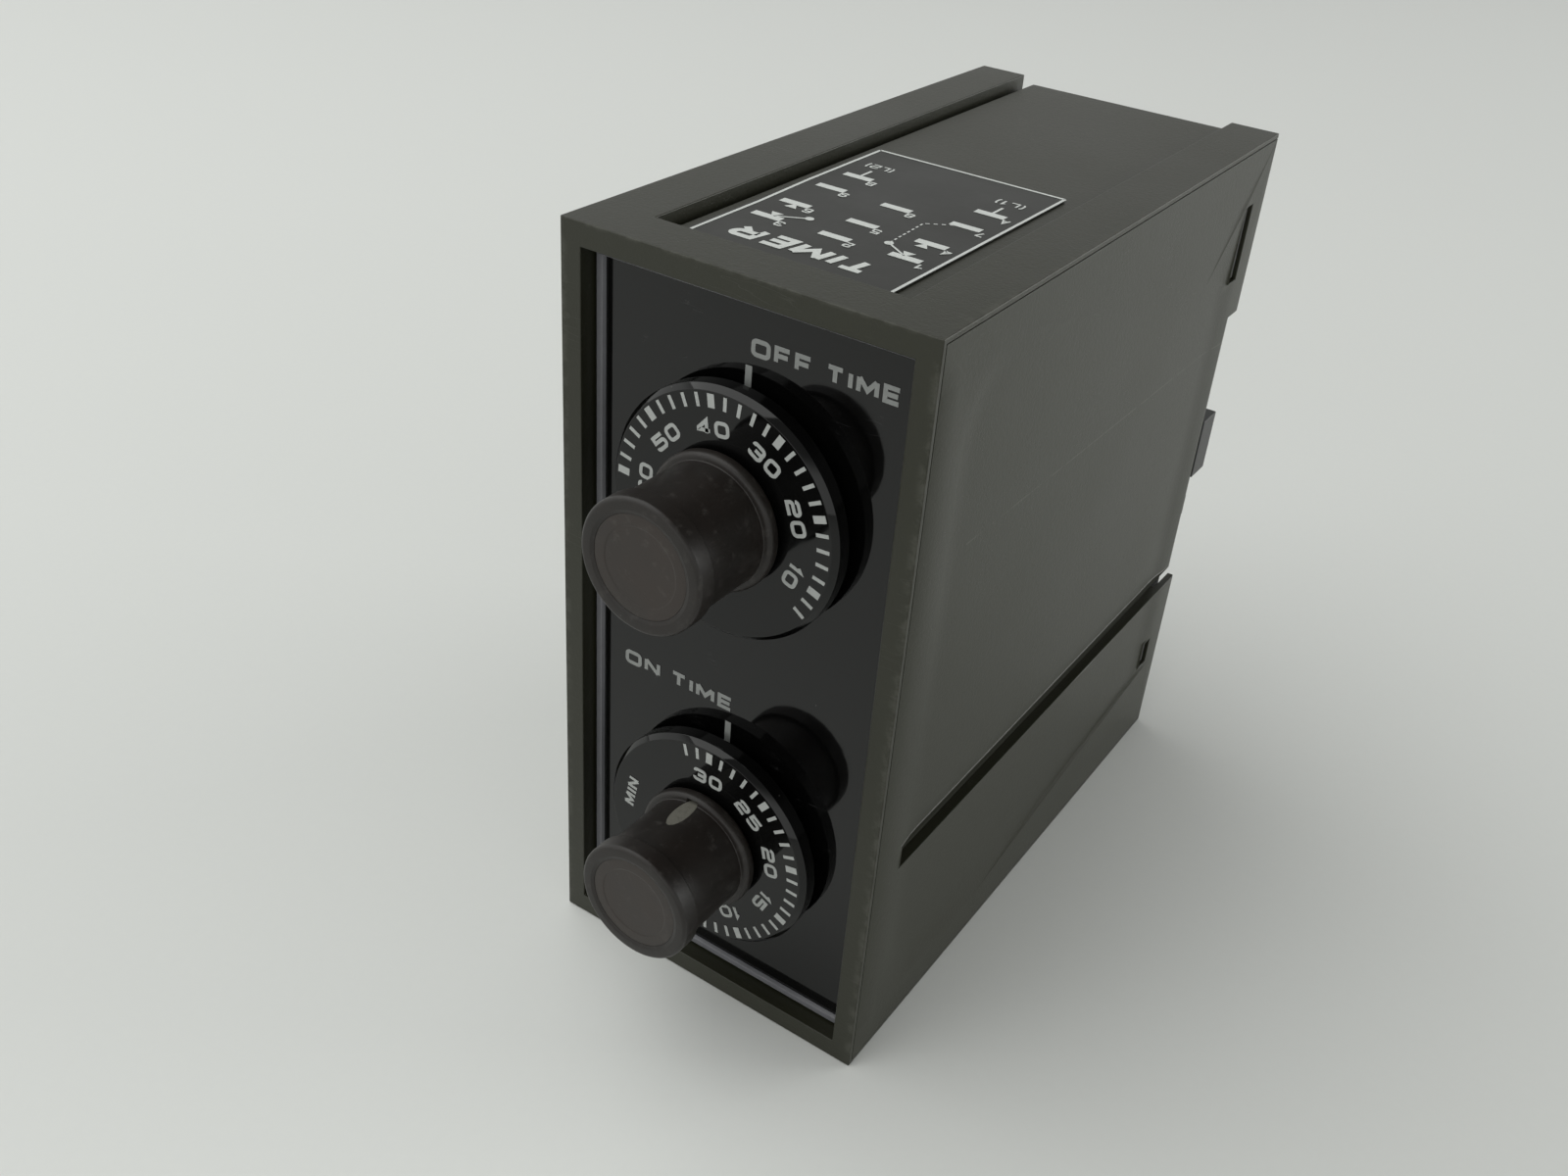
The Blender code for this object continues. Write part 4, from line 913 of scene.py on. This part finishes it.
class DIALTIMER_OT_dials(bpy.types.Operator):
    """The two dials with their scales"""
    bl_idname = "dialtimer.dials"
    bl_label = "Dials"

    def execute(self, context):
        for time in TIMES:
            self.disc(time)
            self.scale(time)
        return {"FINISHED"}

    @staticmethod
    def disc(time):
        dial = settings().dial
        low, high, _ = spans(f"{time}_dial")
        front, back = BEZEL_Y - low.y, BEZEL_Y - high.y
        radius = (high.x - low.x) / 2
        profile = [(KNOB_BORE, front, 0), (radius - dial.chamfer, front, DIAL_BEVEL),
                   (radius, front - dial.chamfer, DIAL_BEVEL), (radius, back, DIAL_BACK_BEVEL),
                   (KNOB_BORE, back, 0)]
        add_turned(time, "scale_disc", lathe(profile, dial.steps, closed=True), "dial", "dial")

    @staticmethod
    def scale(time):
        dial = settings().dial
        scale = SCALES[time]
        low, _, _ = spans(f"{time}_dial")
        ink = Ink()
        centre = on_front(0, AXIS_Z[time], low.y)
        tick = ((0, dial.tick_outer), (0, dial.tick_outer - dial.tick_length))
        for value in range(scale["last"], scale["first"] + 1, scale["every"]):
            numbered = value % scale["numbered"] == 0
            turn = Matrix.Rotation(-math.radians(scale["zero"] - scale["pitch"] * value), 4, "Z")
            ink.stroke(tick, dial.bold_width if numbered else dial.tick_width, centre @ turn)
            if numbered:
                place = centre @ turn @ Matrix.Translation((0, scale["radius"] * MM, 0))
                span = dial.number_span * (sum(LETTERS[digit][0] for digit in str(value)) + LETTER_GAP
                                           * (len(str(value)) - 1))
                ink.letters(str(value), dial.number_height, span, dial.number_stroke, place)
        for words, angle, radius, tall, span in scale["words"]:
            turn = Matrix.Rotation(-math.radians(angle), 4, "Z")
            ink.letters(words, tall * MM, span * MM, 0.38 * MM,
                        centre @ turn @ Matrix.Translation((0, radius * MM, 0)))
        add_piece(f"{time}_scale", ink.finished(), "dial_ink", f"{time}_knob_set")


class DIALTIMER_OT_knobs(bpy.types.Operator):
    """The two knobs with their caps and set screws"""
    bl_idname = "dialtimer.knobs"
    bl_label = "Knobs"

    def execute(self, context):
        for time in TIMES:
            self.barrel(time)
            self.cap(time)
            self.set_screw(time)
        return {"FINISHED"}

    @staticmethod
    def barrel(time):
        knob = settings().knob
        low, high, _ = spans(f"{time}_knob")
        cap_low, cap_high, _ = spans(f"{time}_knob_cap")
        front, foot = BEZEL_Y - low.y, BEZEL_Y - high.y
        head = (high.x - low.x) / 2
        radius = head - max(knob.bead, knob.head)
        head = radius + knob.head
        recess = (cap_high.x - cap_low.x) / 2 + 0.02 * MM
        floor = BEZEL_Y - cap_high.y - 0.3 * MM
        shoulder = front - knob.head_length
        bead = foot + knob.bead
        bead_rounding, web = 0.6 * MM, 1.2 * MM
        profile = [(0, floor, 0), (recess, floor, 0), (recess, front - 0.16 * MM, 0.03 * MM),
                   (recess + 0.45 * MM, front, 0.2 * MM), (head, front, knob.rounding),
                   (head, shoulder + 0.25 * MM, 0.12 * MM), (radius, shoulder, 0.2 * MM),
                   (radius - 0.02 * MM, bead + knob.bead, 0.12 * MM),
                   (radius + knob.bead, bead + knob.bead * 0.9, bead_rounding),
                   (radius + knob.bead, foot, bead_rounding), (KNOB_BORE, foot, 0),
                   (KNOB_BORE, floor - web, 0), (0, floor - web, 0)]
        slot = screw_slot(time, knob.slot_length, knob.slot_width, radius - knob.slot_depth, head)
        add_turned(time, "knob_barrel", lathe(profile, settings().dial.steps), "knob", "knob", slot)

    @staticmethod
    def cap(time):
        knob = settings().knob
        low, high, _ = spans(f"{time}_knob_cap")
        front, back = BEZEL_Y - low.y + 0.12 * MM, BEZEL_Y - high.y
        radius = (high.x - low.x) / 2
        profile = [(0, front - knob.step, 0), (radius * 0.76, front - knob.step, 0.1 * MM),
                   (radius * 0.79, front, 0.1 * MM), (radius, front, 0.03 * MM), (radius, back, 0.1 * MM),
                   (0, back, 0)]
        # The cap's finish is the lighter copy of the knob plastic: painted light for the knob's lit front
        # face.
        add_turned(time, "knob_disc", lathe(profile, settings().dial.steps), "cap", "knob_cap")

    @staticmethod
    def set_screw(time):
        """The pale metal that shows in the long slot over the set screw."""
        knob = settings().knob
        play = 0.04 * MM
        low, high, _ = spans(f"{time}_knob")
        radius = (high.x - low.x) / 2 - knob.bead
        bm = screw_slot(time, knob.slot_length - play, knob.slot_width - play, KNOB_BORE,
                        radius - knob.slot_depth * 0.35)
        break_edges(bm, 0.06 * MM, 2, 60.0)
        add_piece(f"{time}_screw", bm, "screw", f"{time}_knob_set",
                  [f"{time}_set_screw"])


class DIALTIMER_OT_label(bpy.types.Operator):
    """Wiring label on the top, with its bars, numbers and border"""
    bl_idname = "dialtimer.label"
    bl_label = "Wiring label"

    def execute(self, context):
        _, high, _ = spans("wiring_label")
        bm = frame_copy("wiring_label")
        corners = [edge for edge in bm.edges if abs(edge.verts[0].co.z - edge.verts[1].co.z) > 0.05 * MM]
        bmesh.ops.bevel(bm, geom=corners, offset=0.8 * MM, offset_type="OFFSET", segments=5, profile=0.5,
                        affect="EDGES", material=-1)
        add_piece("label_film", bm, "label", "housing", ["wiring_label"])
        ink = Ink()
        flat = Matrix.Translation((0, BEZEL_Y, high.z + print_gap()))

        def lay(x, depth):
            """Where print lies on the film, turned to be read from behind; in millimetres."""
            return flat @ Matrix.Translation((x * MM, depth * MM, 0)) @ Matrix.Rotation(math.pi, 4, "Z")

        for name, x, depth in LABEL_BARS:
            ink.stroke(((1.8 * MM, 0), (-1.8 * MM, 0)), 1.1 * MM, lay(x, depth))
            ink.letters(name, 1.3 * MM, 1.0 * MM, 0.22 * MM, lay(x + 2.3, depth - 1.1))
        for start, end, width, dash in LABEL_LINES:
            ends = [Vector(end) * MM for end in (start, end)]
            if dash:
                ink.dashes(*ends, width * MM, dash * MM, flat)
            else:
                ink.stroke(ends, width * MM, flat)
        for x, depth in LABEL_DOTS:
            ink.disc(0.5 * MM, lay(x, depth))
        for x, depth, turn in LABEL_ARROWS:
            ink.disc(0.85 * MM, lay(x, depth) @ Matrix.Rotation(math.radians(turn), 4, "Z"), 3)
        for words, x, depth, tall, span, stroke, lean in LABEL_WORDS:
            ink.letters(words, tall * MM, span * MM, stroke * MM, lay(x, depth), lean)
        add_piece("label_print", ink.finished(), "label_ink", "housing")
        return {"FINISHED"}


class DIALTIMER_OT_plug(bpy.types.Operator):
    """Plug-in base with raised numbers, its blades and the two latch tabs"""
    bl_idname = "dialtimer.plug"
    bl_label = "Base, blades and latches"

    def execute(self, context):
        base = frame_copy("plug_base")
        break_edges(base, 0.2 * MM)
        add_piece("base_moulding", base, "black", "housing", ["plug_base"])
        numbers = Ink(0.12 * MM)
        for name in TERMINALS:
            _, _, middle = spans(f"terminal_{name}")
            blade = frame_copy(f"terminal_{name}")
            break_edges(blade, 0.12 * MM)
            add_piece(f"blade_{name}", blade, "tinned", "housing",
                      [f"terminal_{name}"])
            place = Matrix.Translation((middle.x, BASE_BACK_Y + 0.07 * MM, middle.z + 2.6 * MM))
            turn = Matrix.Rotation(math.pi, 4, "Z") @ Matrix.Rotation(math.pi / 2, 4, "X")
            numbers.letters(name.upper(), 2.2 * MM, 1.8 * MM, 0.35 * MM, place @ turn)
        add_piece("base_numbers", numbers.finished(), "black", "housing")
        for side in ("left", "right"):
            tab = frame_copy(f"latch_tab_{side}")
            break_edges(tab, 0.25 * MM)
            add_piece(f"{side}_latch", tab, "black", f"latch_tab_{side}",
                      [f"latch_tab_{side}"])
        return {"FINISHED"}


class DIALTIMER_OT_inside(bpy.types.Operator):
    """Finishes of the boards, relay, transformer and potentiometers inside the housing"""
    bl_idname = "dialtimer.inside"
    bl_label = "Inside finishes"

    def execute(self, context):
        for node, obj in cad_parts.items():
            if obj.hide_render:
                continue
            kind = next(kind for kind in INSIDE if kind in node)
            obj.material_slots[0].material = MATERIALS[INSIDE[kind]]
        return {"FINISHED"}


class DIALTIMER_OT_stage(bpy.types.Operator):
    """Pale floor, soft lights and the camera"""
    bl_idname = "dialtimer.stage"
    bl_label = "Stage"

    def execute(self, context):
        self.floor()
        self.lights(context.scene)
        self.camera(context.scene)
        context.scene.view_settings.view_transform = "Standard"
        return {"FINISHED"}

    @staticmethod
    def floor():
        stage = settings().stage
        bm = bmesh.new()
        bmesh.ops.create_grid(bm, x_segments=1, y_segments=1, size=stage.floor_size / 2)
        bmesh.ops.translate(bm, vec=(0, 0, -FLOOR_DROP), verts=bm.verts)
        mesh = bpy.data.meshes.new("floor")
        bm.to_mesh(mesh)
        bm.free()
        mesh.materials.append(floor_paint())
        floor = bpy.data.objects.new("floor", mesh)
        bpy.context.scene.collection.objects.link(floor)

    @staticmethod
    def lights(scene):
        stage = settings().stage
        world = bpy.data.worlds.new("soft_room")
        world.use_nodes = True
        nodes, links = world.node_tree.nodes, world.node_tree.links
        direction = nodes.new("ShaderNodeTexCoord")
        split = nodes.new("ShaderNodeSeparateXYZ")
        rise = nodes.new("ShaderNodeMapRange")
        rise.interpolation_type = "SMOOTHSTEP"
        rise.inputs["From Min"].default_value = SKY_FROM
        rise.inputs["From Max"].default_value = SKY_TO
        mix = nodes.new("ShaderNodeMix")
        mix.data_type = "RGBA"
        mix.inputs[6].default_value = (*(stage.horizon * c for c in LIGHT_TINT), 1.0)
        mix.inputs[7].default_value = (*(stage.sky * c for c in LIGHT_TINT), 1.0)
        links.new(direction.outputs["Generated"], split.inputs[0])
        links.new(split.outputs["Z"], rise.inputs["Value"])
        links.new(rise.outputs[0], mix.inputs[0])
        links.new(mix.outputs[2], nodes["Background"].inputs["Color"])
        depth = nodes.new("ShaderNodeMapRange")
        depth.inputs["From Min"].default_value = -1.0
        depth.inputs["To Min"].default_value = NEAR_LIGHT
        depth.inputs["To Max"].default_value = FAR_LIGHT
        links.new(split.outputs["Y"], depth.inputs["Value"])
        links.new(depth.outputs[0], nodes["Background"].inputs["Strength"])
        scene.world = world
        for name, place, aim, size, power in SOFT_LIGHTS:
            data = bpy.data.lights.new(name, "AREA")
            data.shape = "RECTANGLE"
            data.size, data.size_y = size
            data.energy = power * stage.key_power
            data.color = LIGHT_TINT
            lamp = bpy.data.objects.new(name, data)
            lamp.location = place
            lamp.visible_camera = False
            lamp.rotation_euler = (Vector(aim) - Vector(place)).to_track_quat("-Z", "Y").to_euler()
            scene.collection.objects.link(lamp)

    @staticmethod
    def camera(scene):
        stage = settings().stage
        turn, rise = math.radians(stage.azimuth), math.radians(stage.elevation)
        flat = math.cos(rise)
        forward = Vector((-math.sin(turn) * flat, math.cos(turn) * flat, -math.sin(rise)))
        data = bpy.data.cameras.new("camera")
        data.lens = stage.lens
        data.clip_start = 0.01
        camera = bpy.data.objects.new("camera", data)
        level = forward.to_track_quat("-Z", "Y").to_matrix().to_4x4()
        camera.matrix_world = (Matrix.Translation(stage.camera_place) @ level
                               @ Matrix.Rotation(math.radians(stage.roll), 4, "Z"))
        scene.collection.objects.link(camera)
        scene.camera = camera


# Sidebar --------------------------------------------------------------------

class DIALTIMER_PT_panel(bpy.types.Panel):
    """Sizes and colours of the timer's visible pieces"""
    bl_idname = "DIALTIMER_PT_panel"
    bl_label = "Dial Timer"
    bl_space_type = "VIEW_3D"
    bl_region_type = "UI"
    bl_category = "Dial Timer"

    def draw(self, context):
        layout = self.layout
        timer = context.scene.dial_timer
        for group in ("housing", "plate", "dial", "knob", "stage"):
            box = layout.box()
            box.label(text=group.capitalize())
            for name in getattr(timer, group).__annotations__:
                box.prop(getattr(timer, group), name)
        for operator in OPERATORS:
            layout.operator(operator.bl_idname)


SETTING_GROUPS = (HousingSettings, PlateSettings, DialSettings, KnobSettings, StageSettings, TimerSettings)
OPERATORS = (DIALTIMER_OT_housing, DIALTIMER_OT_face_plate, DIALTIMER_OT_dials, DIALTIMER_OT_knobs,
             DIALTIMER_OT_label, DIALTIMER_OT_plug, DIALTIMER_OT_inside, DIALTIMER_OT_stage)


def register():
    for cls in (*SETTING_GROUPS, *OPERATORS, DIALTIMER_PT_panel):
        bpy.utils.register_class(cls)
    bpy.types.Scene.dial_timer = PointerProperty(type=TimerSettings, name="Dial timer",
                                                 description="Sizes and colours of the dial timer")


def unregister():
    del bpy.types.Scene.dial_timer
    for cls in reversed((*SETTING_GROUPS, *OPERATORS, DIALTIMER_PT_panel)):
        bpy.utils.unregister_class(cls)


def make_materials():
    """Every finish of the timer, by the name its pieces ask for."""
    MATERIALS.update(
        housing=housing_plastic(), plate=plate_gloss(), dial=dial_gloss(), knob=knob_plastic(),
        # The cap's copy is 2.2 times lighter: painted light for the knob's lit front face.
        cap=knob_plastic("knob_cap_plastic_painted_lit", 2.2), screw=screw_zinc(),
        plate_ink=white_ink("plate_ink", 0.36), dial_ink=white_ink("dial_ink", 0.6), bead=bead_satin(),
        label=label_film(), label_ink=white_ink("label_ink", 0.95), black=black_plastic(),
        tinned=metal("tinned_brass", (0.72, 0.7, 0.62), 0.28, (0.42, 0.36, 0.24), (1, 0.12, 1)),
        steel=metal("plated_steel", (0.6, 0.6, 0.58), 0.3, (0.3, 0.28, 0.24), (1, 0.2, 1)),
        brass=metal("brass", (0.72, 0.52, 0.22), 0.26, (0.35, 0.22, 0.09), (1, 0.2, 1)),
        core=laminated_steel(), board=board_laminate(), winding=winding(), case=clear_case(),
        sleeve=striped("capacitor_sleeve", (0.02, 0.045, 0.15), (0.5, 0.5, 0.5), 13 * MM, 0.32),
        resistor=striped("resistor_body", (0.42, 0.28, 0.14), (0.35, 0.05, 0.03), 1.6 * MM, 0.45),
        carbon=carbon_film())


def main():
    register()
    make_materials()
    for operator in OPERATORS:
        group, name = operator.bl_idname.split(".")
        getattr(getattr(bpy.ops, group), name)()


if __name__ == "__main__":
    main()
